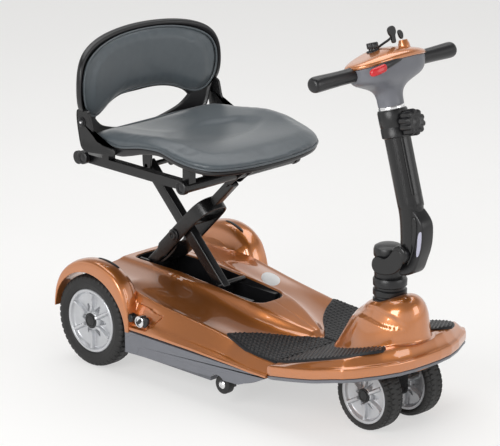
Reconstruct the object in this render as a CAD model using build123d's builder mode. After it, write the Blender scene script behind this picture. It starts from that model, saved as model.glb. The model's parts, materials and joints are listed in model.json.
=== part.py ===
"""Folding mobility scooter: copper body, two rear wheels, twin front wheel, scissor seat, folding tiller."""
import os
from math import cos, radians, sin

from build123d import *

os.makedirs("parts", exist_ok=True)

# Frame: +X forward, +Y to the rider's left, +Z up, floor at z = 0, origin under the middle of the length.
# Distances called "ahead" are measured forward from the rear axle.
rear_axle_x = -346.0
running_gap = 0.3
side_gap = 5.0
seam = 0.4


def at(ahead):
    """Turn a distance ahead of the rear axle into x."""
    return rear_axle_x + ahead


# Rear wheels
rear_radius = 104.0
rear_rim_radius = 72.0
rear_width = 50.0
rear_outer_y = 221.0
axle_radius = 9.0
drive_half_x = 62.0
drive_half_z = 34.0
hub_radius = 20.0
web_thick = 14.0

# Front twin wheels
front_ahead = 698.0
front_radius = 75.7
front_rim_radius = 61.0
front_width = 47.0
front_outer_y = 85.0
front_axle_radius = 7.0
front_hub_radius = 15.0

# Mid rollers
roller_ahead = 395.0
roller_z = 52.0
roller_radius = 21.0
roller_width = 18.0
roller_y = 190.0
roller_pin_radius = 5.0

# Rear body
belt_z = rear_radius + 4.0
side_half = 215.0
tail_ahead = -60.0
rear_end_ahead = 541.0
arch_radius = rear_radius + 8.0
arch_inner_y = 163.0
fender_outer_y = 226.0
deck_floor_z = rear_radius + drive_half_z + 4.0

# Heights of the tray's underside and of what hangs from it
tray_rear_z = belt_z - 50.0
tray_front_z = belt_z - 36.0
bracket_top_z = tray_front_z - 3.0

# Slot in the deck for the scissor legs
slot_half = 46.0
slot_rear_ahead = -46.0
slot_front_ahead = 352.0
slot_floor_z = deck_floor_z + 8.0
liner_thick = 4.0

# Scissor legs, side view: crossing point, half length and rest angle
cross_ahead = 106.0
cross_z = 308.0
half_leg = 160.0
rest_angle = 45.0
bar_half = 12.0
side_bar_inner = 18.0
side_bar_outer = 30.0
centre_bar_half_y = 12.0
centre_bar_half = 10.0
cheek_inner = 36.0
cheek_outer = 40.0
cheek_half = 26.0
cheek_past = 60.0
pin_radius = 7.0
cover_radius = 50.0
cover_thick = 4.0

# Seat
rail_y = 150.0
rail_width = 20.0
cross_tube_radius = 13.0
plug_radius = 15.0
plug_thick = 6.0
pan_thick = 8.0
pan_half = 188.0
pan_front_ahead = 352.0
cushion_front_ahead = 366.0
cushion_half = 190.0
cushion_corner = 80.0
ear_ahead = -38.0
ear_z = 547.0
ear_outer_y = 200.0
ear_thick = 6.0

# Backrest
back_top_z = 728.0
back_bottom_z = 470.0
back_half = 213.0
back_thick = 9.0
pad_thick = 24.0
back_bow = 42.0
lens_half = 138.0
lens_tip_z = 541.0
lens_top_z = 573.0
lens_low_z = 496.0

# Front body
front_rear_ahead = rear_end_ahead + seam
deck_rise = 0.29
lower_rise = 0.185
well_radius = 98.0
well_top_z = 157.0

# Steering
steer_ahead = 692.0
stem_radius = 17.0
collar_radius = 27.5
collar_bottom_z = 268.0
collar_top_z = 308.0
stub_radius = 21.5
stub_top_z = 387.0
tiller_pivot_z = 350.0

# Column, measured along its own line from its foot
column_foot_ahead = 748.0
column_foot_z = 490.0
column_lean = 16.2
column_radius = 28.0
column_length = 182.0
clamp_start = 127.0
clamp_radius = 31.0
inner_radius = 20.0
neck_start = 190.0
head_start = 232.0
shell_start = 300.0
shell_top = 332.0
grip_along = 286.0
grip_radius = 16.0
grip_inner_y = 97.0
grip_outer_y = 210.0
bar_radius = 11.0

knob_along = 160.0
knob_radius = 24.0
knob_thick = 26.0
hinge_cheek = 38.0
runner_inner = 15.0
runner_rear = 208.0
runner_front = 330.0
pan_rear_ahead = -34.0
cushion_rear_ahead = -44.0
side_port_ahead = (128.0, 163.0)
side_port_z = belt_z + 31.0
side_port_inner = side_half - 24.0
side_port_outer = side_half - 8.0
side_port_radius = 11.0
slot_corner = 14.0
ledge_rear = 195.0
ledge_front = 325.0
ledge_inner = 31.5
foot_roller_radius = 10.0
mat_thick = 5.0
fork_half = 32.0
yoke_outer = 30.0
yoke_disc = 30.0
front_lower_z = 112.0
front_deck_z = 133.0

# Worked out from the scissor: the fixed feet, the sliding feet and the tops
leg_reach = half_leg * cos(radians(rest_angle))
leg_rise = half_leg * sin(radians(rest_angle))
foot_rear = cross_ahead - leg_reach
foot_front = cross_ahead + leg_reach
foot_z = cross_z - leg_rise
top_z = cross_z + leg_rise
ledge_z = foot_z - foot_roller_radius - running_gap
rail_z = top_z + 30.0
seat_rear_ahead = foot_rear - 79.0
seat_tube_ahead = foot_front + 27.0


# Cylinders stand on their place instead of being centred on it
foot_align = (Align.CENTER, Align.CENTER, Align.MIN)


def keep(piece, name):
    """Name a finished piece and write it to its own file."""
    piece.part.label = name
    export_step(piece.part, f"parts/{name}.step")


def side_plane(y):
    """A plane that faces +Y: sketch x is world x, sketch y is world z, extruded towards -Y."""
    return Plane(origin=(0, y, 0), x_dir=(1, 0, 0), z_dir=(0, -1, 0))


def block(x_from, x_to, y_from, y_to, z_from, z_to, mode=Mode.ADD):
    """Add or cut a plain block between two corners."""
    with Locations(((x_from + x_to) / 2, (y_from + y_to) / 2, (z_from + z_to) / 2)):
        Box(abs(x_to - x_from), abs(y_to - y_from), abs(z_to - z_from), mode=mode)


def rod(x, z, radius, y_from, y_to, mode=Mode.ADD):
    """Add or cut a round rod along Y."""
    with Locations((x, (y_from + y_to) / 2, z)):
        Cylinder(radius, abs(y_to - y_from), rotation=(90, 0, 0), mode=mode)


column_dir = (-sin(radians(column_lean)), 0, cos(radians(column_lean)))
column_x_dir = (cos(radians(column_lean)), 0, sin(radians(column_lean)))


def column_plane(along):
    """A plane square to the column, at a distance from its foot; its local x points forward."""
    origin_x = at(column_foot_ahead) + along * column_dir[0]
    origin_z = column_foot_z + along * column_dir[2]
    return Plane(origin=(origin_x, 0, origin_z), x_dir=column_x_dir, z_dir=column_dir)


# Wheels
for side_name, side in (("left", 1), ("right", -1)):
    middle_y = side * (rear_outer_y - rear_width / 2)
    with BuildPart() as rear_tyre:
        with BuildSketch(side_plane(middle_y)):
            with Locations((at(0), rear_radius)):
                Circle(rear_radius)
                Circle(rear_rim_radius, mode=Mode.SUBTRACT)
        extrude(amount=rear_width / 2, both=True)
        tread_edges = rear_tyre.edges().filter_by(GeomType.CIRCLE).group_by(SortBy.RADIUS)[-1]
        fillet(tread_edges, rear_width * 0.2)
    keep(rear_tyre, f"rear_tyre_{side_name}")

    with BuildPart() as rear_rim:
        with BuildSketch(side_plane(middle_y)):
            with Locations((at(0), rear_radius)):
                Circle(rear_rim_radius)
                Circle(rear_rim_radius - 5, mode=Mode.SUBTRACT)
        extrude(amount=rear_width / 2 - 3, both=True)
        with BuildSketch(side_plane(middle_y)):
            with Locations((at(0), rear_radius)):
                Circle(rear_rim_radius - 2)
        extrude(amount=web_thick / 2, both=True)
        with BuildSketch(side_plane(middle_y)):
            with Locations((at(0), rear_radius)):
                Circle(hub_radius)
        extrude(amount=rear_width / 2 - 6, both=True)
        with BuildSketch(side_plane(middle_y)):
            with Locations((at(0), rear_radius)):
                Circle(axle_radius + running_gap)
        extrude(amount=rear_width, both=True, mode=Mode.SUBTRACT)
    keep(rear_rim, f"rear_rim_{side_name}")

with BuildPart() as rear_axle:
    with BuildSketch(side_plane(0)):
        with Locations((at(0), rear_radius)):
            Circle(axle_radius)
    extrude(amount=rear_outer_y - 6, both=True)
keep(rear_axle, "rear_axle")

drive_half_y = rear_outer_y - rear_width - 2 * side_gap
with BuildPart() as drive_unit:
    with Locations((at(0), 0, rear_radius)):
        Box(2 * drive_half_x, 2 * drive_half_y, 2 * drive_half_z)
    fillet(drive_unit.edges().filter_by(Axis.Y), 12)
    with BuildSketch(side_plane(0)):
        with Locations((at(0), rear_radius)):
            Circle(axle_radius)
    extrude(amount=rear_outer_y, both=True, mode=Mode.SUBTRACT)
    with Locations((at(0), 0, (rear_radius + drive_half_z + deck_floor_z) / 2)):
        Box(2 * drive_half_x - 40, 2 * drive_half_y - 60, deck_floor_z - rear_radius - drive_half_z)
keep(drive_unit, "drive_unit")

with BuildPart() as front_tyres:
    for side in (1, -1):
        with BuildSketch(side_plane(side * (front_outer_y - front_width / 2))):
            with Locations((at(front_ahead), front_radius)):
                Circle(front_radius)
                Circle(front_rim_radius, mode=Mode.SUBTRACT)
        extrude(amount=front_width / 2, both=True)
    outer_edges = front_tyres.edges().filter_by(GeomType.CIRCLE).group_by(SortBy.RADIUS)[-1]
    fillet(outer_edges, front_width * 0.2)
keep(front_tyres, "front_tyres")

with BuildPart() as front_rims:
    for side in (1, -1):
        middle_y = side * (front_outer_y - front_width / 2)
        with BuildSketch(side_plane(middle_y)):
            with Locations((at(front_ahead), front_radius)):
                Circle(front_rim_radius)
                Circle(front_rim_radius - 4, mode=Mode.SUBTRACT)
        extrude(amount=front_width / 2 - 3, both=True)
        with BuildSketch(side_plane(middle_y)):
            with Locations((at(front_ahead), front_radius)):
                Circle(front_rim_radius - 2)
        extrude(amount=web_thick / 2, both=True)
        with BuildSketch(side_plane(middle_y)):
            with Locations((at(front_ahead), front_radius)):
                Circle(front_hub_radius)
        extrude(amount=front_width / 2 - 4, both=True)
    with BuildSketch(side_plane(0)):
        with Locations((at(front_ahead), front_radius)):
            Circle(front_axle_radius)
    extrude(amount=front_outer_y - 4, both=True)
keep(front_rims, "front_rims")

for side_name, side in (("left", 1), ("right", -1)):
    with BuildPart() as roller:
        with BuildSketch(side_plane(side * roller_y)):
            with Locations((at(roller_ahead), roller_z)):
                Circle(roller_radius)
                Circle(roller_pin_radius + running_gap, mode=Mode.SUBTRACT)
        extrude(amount=roller_width / 2, both=True)
        fillet(roller.edges().filter_by(GeomType.CIRCLE).group_by(SortBy.RADIUS)[-1], 3)
    keep(roller, f"mid_roller_{side_name}")

# Rear body: cross-sections, each half listed from the middle outwards
# Columns: ahead, spine half-width and z, flank half-width and z, ridge half-width and z, side half-width
rear_sections = (
    (tail_ahead, 60, 204, 120, 200, 170, 196, 200),
    (100, 60, 202, 120, 196, 178, 188, side_half),
    (240, 58, 190, 110, 175, 173, 166, side_half),
    (352, 52, 172, 100, 152, 168, 154, side_half),
    (430, 30, 160, 60, 142, 166, 140, side_half),
    (rear_end_ahead, 6, 136, 12, 132, 165, 132, side_half - 2),
)
with BuildPart() as rear_body:
    for ahead, spine_half, spine_z, flank_half, flank_z, ridge_half, ridge_z, side in rear_sections:
        half_section = (
            (spine_half, spine_z),
            (flank_half, flank_z),
            (ridge_half, ridge_z),
            (side, belt_z + 12),
            (side, belt_z),
        )
        mirrored = tuple((-y, z) for y, z in reversed(half_section))
        with BuildSketch(Plane(origin=(at(ahead), 0, 0), x_dir=(0, 1, 0), z_dir=(1, 0, 0))):
            with BuildLine():
                Polyline(*half_section, *mirrored, close=True)
            make_face()
    loft(ruled=True)
    for side in (1, -1):
        with BuildSketch(side_plane(side * fender_outer_y)) as fender_profile:
            with BuildLine():
                ThreePointArc((at(-110), 117), (at(-68), 207), (at(35), 246))
                Line((at(35), 246), (at(122), 214))
                Line((at(122), 214), (at(122), belt_z))
                Line((at(122), belt_z), (at(-100), belt_z))
                Line((at(-100), belt_z), (at(-110), 117))
            make_face()
        extrude(amount=side * (fender_outer_y - arch_inner_y))
    for side in (1, -1):
        with BuildSketch(side_plane(side * (fender_outer_y + 1))):
            with Locations((at(0), rear_radius)):
                Circle(arch_radius)
            with Locations((at(-60), belt_z)):
                Rectangle(120, 60)
        extrude(amount=side * (fender_outer_y + 1 - arch_inner_y - 4), mode=Mode.SUBTRACT)
    with BuildSketch(Plane.XY):
        with Locations((at(tail_ahead / 2 + 22), 0)):
            Rectangle(-tail_ahead + 146, 2 * (arch_inner_y + 4))
    extrude(amount=deck_floor_z, mode=Mode.SUBTRACT)
    with BuildSketch(Plane.XY.offset(slot_floor_z)):
        with Locations((at((slot_rear_ahead + slot_front_ahead) / 2), 0)):
            RectangleRounded(slot_front_ahead - slot_rear_ahead, 2 * slot_half, slot_corner)
    extrude(amount=120, mode=Mode.SUBTRACT)
    for side in (1, -1):
        for ahead in side_port_ahead:
            port_hole = side_port_radius + seam
            rod(at(ahead), side_port_z, port_hole, side * side_port_inner, side * side_half, Mode.SUBTRACT)
keep(rear_body, "rear_body")

# Grey lower tray with a pocket for the battery box
battery_rear_ahead = 114.0
battery_front_ahead = 338.0
battery_half = 177.0
battery_bottom_z = belt_z - 66.5
battery_top_z = belt_z - 16.0
with BuildPart() as lower_tray:
    with BuildSketch(side_plane(0)):
        with BuildLine():
            Polyline(
                (at(124), belt_z - seam),
                (at(108), belt_z - seam),
                (at(108), tray_rear_z),
                (at(155), tray_rear_z + 2),
                (at(458), tray_front_z),
                (at(528), belt_z - 8),
                (at(rear_end_ahead), belt_z - seam),
                close=True,
            )
        make_face()
    extrude(amount=side_half - 1, both=True)
    with BuildSketch(Plane.XY.offset(battery_top_z + seam)):
        with Locations((at((battery_rear_ahead + battery_front_ahead) / 2), 0)):
            Rectangle(battery_front_ahead - battery_rear_ahead + 2 * seam, 2 * (battery_half + seam))
    extrude(amount=-80, mode=Mode.SUBTRACT)
    for side in (1, -1):
        with BuildSketch(side_plane(side * (side_half + 1))):
            with Locations((at(roller_ahead), roller_z)):
                Circle(roller_radius + side_gap)
        extrude(amount=side * (side_half + 1 - roller_y + roller_width / 2 + side_gap), mode=Mode.SUBTRACT)
keep(lower_tray, "lower_tray")

with BuildPart() as battery_box:
    with BuildSketch(Plane.XY.offset(battery_bottom_z)):
        with Locations((at((battery_rear_ahead + battery_front_ahead) / 2), 0)):
            Rectangle(battery_front_ahead - battery_rear_ahead, 2 * battery_half)
    extrude(amount=battery_top_z - battery_bottom_z)
keep(battery_box, "battery_box")

with BuildPart() as roller_pins:
    for side in (1, -1):
        with BuildSketch(side_plane(side * (roller_y + roller_width / 2 + 2))):
            with Locations((at(roller_ahead), roller_z)):
                Circle(roller_pin_radius)
        extrude(amount=side * (roller_width + 2 + side_gap + 12))
        bracket_y = side * (roller_y - roller_width / 2 - side_gap - 6)
        with BuildSketch(side_plane(bracket_y)):
            with BuildLine():
                Polyline(
                    (at(roller_ahead - 12), bracket_top_z),
                    (at(roller_ahead - 9), roller_z - 10),
                    (at(roller_ahead + 9), roller_z - 10),
                    (at(roller_ahead + 12), bracket_top_z),
                    close=True,
                )
            make_face()
        extrude(amount=5, both=True)
keep(roller_pins, "roller_brackets")

with BuildPart() as slot_liner:
    liner_top_z = slot_floor_z + running_gap + liner_thick
    with BuildSketch(Plane.XY.offset(slot_floor_z + running_gap)):
        with Locations((at((slot_rear_ahead + slot_front_ahead) / 2), 0)):
            RectangleRounded(
                slot_front_ahead - slot_rear_ahead - 2 * running_gap,
                2 * (slot_half - running_gap),
                slot_corner - running_gap,
            )
    extrude(amount=liner_thick)
    for side in (1, -1):
        ledge_outer = side * (slot_half - 1)
        block(at(ledge_rear), at(ledge_front), side * ledge_inner, ledge_outer, liner_top_z, ledge_z)
        lug_inner = side * (cheek_outer + seam)
        lug_outer = side * (slot_half - running_gap)
        block(at(foot_rear - 16), at(foot_rear + 16), lug_inner, lug_outer, liner_top_z, foot_z + 12)
        rod(at(foot_rear), foot_z, pin_radius + running_gap, lug_inner, lug_outer, Mode.SUBTRACT)
keep(slot_liner, "slot_liner")

with BuildPart() as deck_mats:
    for side in (1, -1):
        with BuildSketch(Plane(origin=(at(373), 0, 154.5), x_dir=(1, 0, -0.115), z_dir=(0.115, 0, 1))):
            with BuildLine():
                Polyline(
                    (0, side * 162),
                    (52, side * 70),
                    (128, side * 24),
                    (166, side * 24),
                    (166, side * 160),
                    close=True,
                )
            make_face()
        extrude(amount=mat_thick)
keep(deck_mats, "rear_mats")

with BuildPart() as side_ports:
    for side in (1, -1):
        for ahead in side_port_ahead:
            rod(at(ahead), side_port_z, side_port_radius, side * side_port_inner, side * side_port_outer)
keep(side_ports, "side_ports")

# Front body: plan outline between two sloping faces, with a well for the front wheels
with BuildPart() as front_body:
    with BuildSketch(Plane.XY):
        with BuildLine():
            Polyline(
                (at(front_rear_ahead), side_half - 1),
                (at(655), side_half - 9),
                (at(738), side_half - 19),
                (at(788), 116),
                (at(808), 40),
                (at(808), -40),
                (at(788), -116),
                (at(738), 19 - side_half),
                (at(655), 9 - side_half),
                (at(front_rear_ahead), 1 - side_half),
                close=True,
            )
        make_face()
    extrude(amount=320)
    fillet(front_body.edges().filter_by(Axis.Z).group_by(Axis.X)[-1], 30)
    fillet(front_body.edges().filter_by(Axis.Z).group_by(Axis.X)[2], 30)
    with BuildSketch(side_plane(0)):
        with BuildLine():
            Polyline(
                (at(530), 0),
                (at(530), front_lower_z - (front_rear_ahead - 530) * lower_rise),
                (at(745), front_lower_z + (745 - front_rear_ahead) * lower_rise),
                (at(820), front_lower_z + (745 - front_rear_ahead) * lower_rise),
                (at(820), 0),
                close=True,
            )
        make_face()
    extrude(amount=side_half + 20, both=True, mode=Mode.SUBTRACT)
    with BuildSketch(side_plane(0)):
        with BuildLine():
            Polyline(
                (at(530), front_deck_z - (front_rear_ahead - 530) * deck_rise),
                (at(775), front_deck_z + (775 - front_rear_ahead) * deck_rise),
                (at(830), 190),
                (at(830), 330),
                (at(530), 330),
                close=True,
            )
        make_face()
    extrude(amount=side_half + 20, both=True, mode=Mode.SUBTRACT)
    with Locations((at(steer_ahead), 0, 0)):
        Cylinder(well_radius, well_top_z, align=foot_align, mode=Mode.SUBTRACT)
        Cylinder(well_radius + 24, 128, align=foot_align, mode=Mode.SUBTRACT)
        Cylinder(stem_radius + running_gap, 330, align=foot_align, mode=Mode.SUBTRACT)
keep(front_body, "front_body")

with BuildPart() as front_mats:
    mat_slope = Plane(
        origin=(at(front_rear_ahead + 2), 0, front_deck_z + 2 * deck_rise + seam),
        x_dir=(1, 0, deck_rise),
        z_dir=(-deck_rise, 0, 1),
    )
    for side in (1, -1):
        with BuildSketch(mat_slope):
            with BuildLine():
                Polyline(
                    (0, side * 8),
                    (8, side * 8),
                    (42, side * 82),
                    (130, side * 92),
                    (215, side * 92),
                    (222, side * 132),
                    (170, side * 160),
                    (0, side * 172),
                    close=True,
                )
            make_face()
        extrude(amount=mat_thick)
keep(front_mats, "front_mats")

# Dome over the steering head
# Columns: ahead, half-width, foot z, top z
dome_sections = (
    (566, 16, 135, 152),
    (608, 56, 147, 228),
    (654, 72, 160, 258),
    (692, 76, 171, 264),
    (745, 74, 186, 270),
    (785, 56, 192, 236),
)
with BuildPart() as dome:
    for ahead, half_width, dome_foot_z, dome_top_z in dome_sections:
        height = dome_top_z - dome_foot_z
        half_section = (
            (0.30 * half_width, dome_foot_z + height),
            (0.72 * half_width, dome_foot_z + 0.84 * height),
            (0.95 * half_width, dome_foot_z + 0.45 * height),
            (half_width, dome_foot_z),
        )
        mirrored = tuple((-y, z) for y, z in reversed(half_section))
        with BuildSketch(Plane(origin=(at(ahead), 0, 0), x_dir=(0, 1, 0), z_dir=(1, 0, 0))):
            with BuildLine():
                Polyline(*half_section, *mirrored, close=True)
            make_face()
    loft(ruled=True)
    with BuildSketch(side_plane(0)):
        with BuildLine():
            Polyline(
                (at(530), front_deck_z - (front_rear_ahead - 530) * deck_rise + seam),
                (at(775), front_deck_z + (775 - front_rear_ahead) * deck_rise + seam),
                (at(830), 190 + seam),
                (at(830), 0),
                (at(530), 0),
                close=True,
            )
        make_face()
    extrude(amount=side_half, both=True, mode=Mode.SUBTRACT)
    with Locations((at(steer_ahead), 0, 0)):
        Cylinder(stem_radius + side_gap, 400, align=foot_align, mode=Mode.SUBTRACT)
    with Locations((at(steer_ahead), 0, collar_bottom_z - side_gap)):
        Cylinder(collar_radius + side_gap, 60, align=foot_align, mode=Mode.SUBTRACT)
keep(dome, "dome")

# Steering: fork between the wheels, stem, collar and the stub that carries the tiller
with BuildPart() as fork:
    block(at(steer_ahead - 24), at(front_ahead + 22), -fork_half, fork_half, front_radius - 20, 132)
    fillet(fork.edges().filter_by(Axis.Y), 10)
    rod(at(front_ahead), front_radius, front_axle_radius + running_gap, -fork_half, fork_half, Mode.SUBTRACT)
    with Locations((at(steer_ahead), 0, 132)):
        Cylinder(stem_radius, collar_bottom_z - 132, align=foot_align)
keep(fork, "steering_fork")

with BuildPart() as collar:
    with Locations((at(steer_ahead), 0, collar_bottom_z)):
        Cylinder(collar_radius - 2.5, collar_top_z - collar_bottom_z, align=foot_align)
    for rib in range(3):
        with Locations((at(steer_ahead), 0, collar_bottom_z + 2 + rib * 15)):
            Cylinder(collar_radius, 8, align=foot_align)
keep(collar, "steering_collar")

with BuildPart() as stub:
    with Locations((at(steer_ahead), 0, collar_top_z)):
        Cylinder(stub_radius, stub_top_z - collar_top_z, align=foot_align)
    rod(at(steer_ahead), tiller_pivot_z, pin_radius, -yoke_outer, yoke_outer)
keep(stub, "tiller_stub")

# Front edge of the arm, which the lever lies against, as (ahead, z)
arm_front = ((776, 350), (786, 400), (778, 470))

# Tiller: yoke and curved arm, fold lever, column, clamp and knob
with BuildPart() as tiller_arm:
    with BuildSketch(side_plane(0)):
        with BuildLine():
            Polyline(
                (at(700), 318),
                (at(748), 318),
                *((at(ahead), z) for ahead, z in arm_front),
                (at(column_foot_ahead + 27), column_foot_z + 7),
                (at(column_foot_ahead - 27), column_foot_z - 9),
                (at(728), 440),
                (at(722), 385),
                (at(700), 376),
                close=True,
            )
        make_face()
    extrude(amount=yoke_outer - 1, both=True)
    rod(at(steer_ahead), tiller_pivot_z, yoke_disc, -yoke_outer + 1, yoke_outer - 1)
    swing_radius = ((stub_top_z - tiller_pivot_z) ** 2 + stub_radius**2) ** 0.5 + 2
    rod(at(steer_ahead), tiller_pivot_z, swing_radius, -stub_radius - 0.7, stub_radius + 0.7, Mode.SUBTRACT)
    rod(at(steer_ahead), tiller_pivot_z, pin_radius + running_gap, -yoke_outer, yoke_outer, Mode.SUBTRACT)
keep(tiller_arm, "tiller_arm")

with BuildPart() as fold_lever:
    with BuildSketch(side_plane(0)):
        with BuildLine():
            Polyline(
                (at(arm_front[0][0] + seam), arm_front[0][1]),
                (at(795), 353),
                (at(811), 450),
                (at(800), 478),
                (at(787), 490),
                (at(arm_front[2][0] + seam), arm_front[2][1]),
                (at(arm_front[1][0] + seam), arm_front[1][1]),
                close=True,
            )
        make_face()
    extrude(amount=16, both=True)
keep(fold_lever, "fold_lever")

with BuildPart() as column:
    with BuildSketch(column_plane(0)):
        Circle(column_radius)
        Circle(inner_radius + running_gap, mode=Mode.SUBTRACT)
    extrude(amount=clamp_start)
    with BuildSketch(column_plane(0)):
        Circle(column_radius)
    extrude(amount=10)
keep(column, "column_tube")

with BuildPart() as clamp:
    with BuildSketch(column_plane(clamp_start + seam)):
        Circle(clamp_radius)
        Circle(inner_radius + running_gap, mode=Mode.SUBTRACT)
    extrude(amount=column_length - clamp_start)
    with BuildSketch(Plane(origin=column_plane(knob_along).origin, x_dir=(0, 1, 0), z_dir=column_x_dir)):
        Circle(9)
    extrude(amount=clamp_radius + 14)
    with BuildSketch(column_plane(clamp_start - 10)):
        Circle(inner_radius + running_gap)
    extrude(amount=120, mode=Mode.SUBTRACT)
keep(clamp, "height_clamp")

knob_plane = Plane(origin=column_plane(knob_along).origin, x_dir=(0, 1, 0), z_dir=column_x_dir)
with BuildPart() as clamp_knob:
    with BuildSketch(knob_plane.offset(clamp_radius + 14)):
        Circle(knob_radius)
    extrude(amount=knob_thick)
    fillet(clamp_knob.edges().filter_by(GeomType.CIRCLE), 4)
keep(clamp_knob, "clamp_knob")

with BuildPart() as inner_tube:
    with BuildSketch(column_plane(20)):
        Circle(inner_radius)
    extrude(amount=neck_start + 20 - 20)
keep(inner_tube, "inner_tube")

# Control head
with BuildPart() as head_lower:
    with BuildSketch(column_plane(neck_start)):
        Circle(26)
    extrude(amount=head_start - neck_start)
    # Columns: distance along the column, depth fore and aft, width, forward shift
    lower_sections = (
        (head_start - 6, 50, 54, 0),
        (head_start + 34, 84, 130, 4),
        (shell_start, 118, 188, 6),
    )
    for along, depth, width, forward in lower_sections:
        with BuildSketch(column_plane(along)):
            with Locations((forward, 0)):
                RectangleRounded(depth, width, depth * 0.4)
    loft(ruled=True)
    with BuildSketch(column_plane(neck_start)):
        Circle(inner_radius + running_gap)
    extrude(amount=20, mode=Mode.SUBTRACT)
    with BuildSketch(Plane(origin=column_plane(grip_along).origin, x_dir=column_x_dir, z_dir=(0, 1, 0))):
        Circle(bar_radius)
    extrude(amount=grip_outer_y, both=True, mode=Mode.SUBTRACT)
keep(head_lower, "head_lower")

with BuildPart() as head_upper:
    # Columns: distance along the column, depth, width, forward shift
    for along, depth, width, forward in (
        (shell_start + seam, 118, 186, 6),
        (shell_start + 18, 112, 172, 6),
        (shell_top, 84, 120, 6),
    ):
        with BuildSketch(column_plane(along)):
            with Locations((forward, 0)):
                RectangleRounded(depth, width, depth * 0.4)
    loft(ruled=True)
keep(head_upper, "head_upper")

grip_plane = Plane(origin=column_plane(grip_along).origin, x_dir=column_x_dir, z_dir=(0, 1, 0))
with BuildPart() as handlebar:
    with BuildSketch(grip_plane):
        Circle(bar_radius)
    extrude(amount=grip_outer_y - 6, both=True)
keep(handlebar, "handlebar")

with BuildPart() as grips:
    for side in (1, -1):
        with BuildSketch(grip_plane.offset(side * grip_inner_y)):
            Circle(grip_radius)
        extrude(amount=side * (grip_outer_y - grip_inner_y))
        with BuildSketch(grip_plane.offset(side * grip_inner_y)):
            Circle(bar_radius)
        extrude(amount=side * (grip_outer_y - grip_inner_y - 6), mode=Mode.SUBTRACT)
keep(grips, "grips")

with BuildPart() as speed_knob:
    with BuildSketch(column_plane(shell_top + seam)):
        with Locations((-18, 0)):
            Circle(14)
    extrude(amount=12)
keep(speed_knob, "speed_knob")

with BuildPart() as key_clip:
    with BuildSketch(column_plane(shell_top + seam)):
        with Locations((36, 10)):
            Rectangle(12, 34)
    extrude(amount=26)
    with BuildSketch(column_plane(shell_top + seam)):
        with Locations((36, 10)):
            Rectangle(14, 18)
    extrude(amount=18, mode=Mode.SUBTRACT)
keep(key_clip, "key_clip")

with BuildPart() as paddle:
    with BuildSketch(column_plane(shell_start - 12)):
        with Locations((65 + seam + 9, -62)):
            RectangleRounded(18, 44, 6)
    extrude(amount=14)
keep(paddle, "thumb_paddle")

# Scissor legs
leg_b_angle = radians(rest_angle)
leg_b_dir = (cos(leg_b_angle), 0, sin(leg_b_angle))
leg_a_dir = (cos(leg_b_angle), 0, -sin(leg_b_angle))


def leg_plane(foot_ahead, foot_height, direction):
    """A plane that faces -Y at y = 0 with its local x along a leg and its origin at the leg's lower end."""
    return Plane(origin=(at(foot_ahead), 0, foot_height), x_dir=direction, z_dir=(0, -1, 0))


centre_plane = leg_plane(foot_rear, foot_z, leg_b_dir)
side_leg_plane = leg_plane(foot_rear, top_z, leg_a_dir)
full_leg = 2 * half_leg

with BuildPart() as centre_leg:
    with BuildSketch(centre_plane):
        with Locations((half_leg, 0)):
            SlotCenterToCenter(full_leg, 2 * centre_bar_half)
    extrude(amount=centre_bar_half_y, both=True)
    rod(at(cross_ahead), cross_z, pin_radius, -cheek_outer - 4, cheek_outer + 4)
    rod(at(foot_front), top_z, pin_radius, -runner_inner + 0.5, runner_inner - 0.5)
    rod(at(foot_rear), foot_z, pin_radius, -slot_half + 1, slot_half - 1)
keep(centre_leg, "centre_leg")

with BuildPart() as leg_housing:
    for side in (1, -1):
        with BuildSketch(centre_plane.offset(-side * cheek_inner)):
            with Locations(((half_leg + cheek_past) / 2, 0)):
                SlotCenterToCenter(half_leg + cheek_past - 20, 2 * cheek_half)
        extrude(amount=-side * (cheek_outer - cheek_inner))
    with BuildSketch(centre_plane):
        with Locations((half_leg * 0.5, -cheek_half + 2)):
            Rectangle(half_leg * 0.8, 4)
    extrude(amount=cheek_outer, both=True)
    rod(at(cross_ahead), cross_z, pin_radius, -cheek_outer, cheek_outer, Mode.SUBTRACT)
    rod(at(foot_rear), foot_z, pin_radius, -cheek_outer, cheek_outer, Mode.SUBTRACT)
keep(leg_housing, "leg_housing")

cover_from = 61.0
cover_to = 112.0
with BuildPart() as leg_cover:
    with BuildSketch(side_plane(0)):
        with BuildLine():
            cover_sweep = cover_to - cover_from
            cross = (at(cross_ahead), cross_z)
            outer_arc = CenterArc(cross, cover_radius + cover_thick, cover_from, cover_sweep)
            inner_arc = CenterArc(cross, cover_radius, cover_from, cover_sweep)
            Line(outer_arc @ 0, inner_arc @ 0)
            Line(outer_arc @ 1, inner_arc @ 1)
        make_face()
    extrude(amount=cheek_inner, both=True)
keep(leg_cover, "leg_cover")

with BuildPart() as side_legs:
    for side in (1, -1):
        with BuildSketch(side_leg_plane.offset(-side * side_bar_inner)):
            with Locations((half_leg, 0)):
                SlotCenterToCenter(full_leg, 2 * bar_half)
        extrude(amount=-side * (side_bar_outer - side_bar_inner))
    rod(at(cross_ahead), cross_z, pin_radius + running_gap, -side_bar_outer, side_bar_outer, Mode.SUBTRACT)
    rod(at(foot_rear), top_z, pin_radius, -hinge_cheek - 3, hinge_cheek + 3)
    rod(at(foot_front), foot_z, pin_radius, -side_bar_outer - 12, side_bar_outer + 12)
    for side in (1, -1):
        foot_inner = side * (side_bar_outer + 1.5)
        foot_outer = side * (side_bar_outer + 11)
        rod(at(foot_front), foot_z, foot_roller_radius, foot_inner, foot_outer)
keep(side_legs, "side_legs")

# Heights along the side of the seat, each as (ahead, z): underside of the pan and top of the cushion
pan_line = ((-60, 489), (14, 495), (67, 490), (140, 501), (190, 505), (248, 494), (300, 487), (400, 482))
cushion_line = (
    (-60, 518),
    (6, 522),
    (60, 526),
    (107, 533),
    (164, 541),
    (205, 539),
    (250, 532),
    (290, 526),
    (335, 518),
    (400, 498),
)
bracket_half = 10.0

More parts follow.
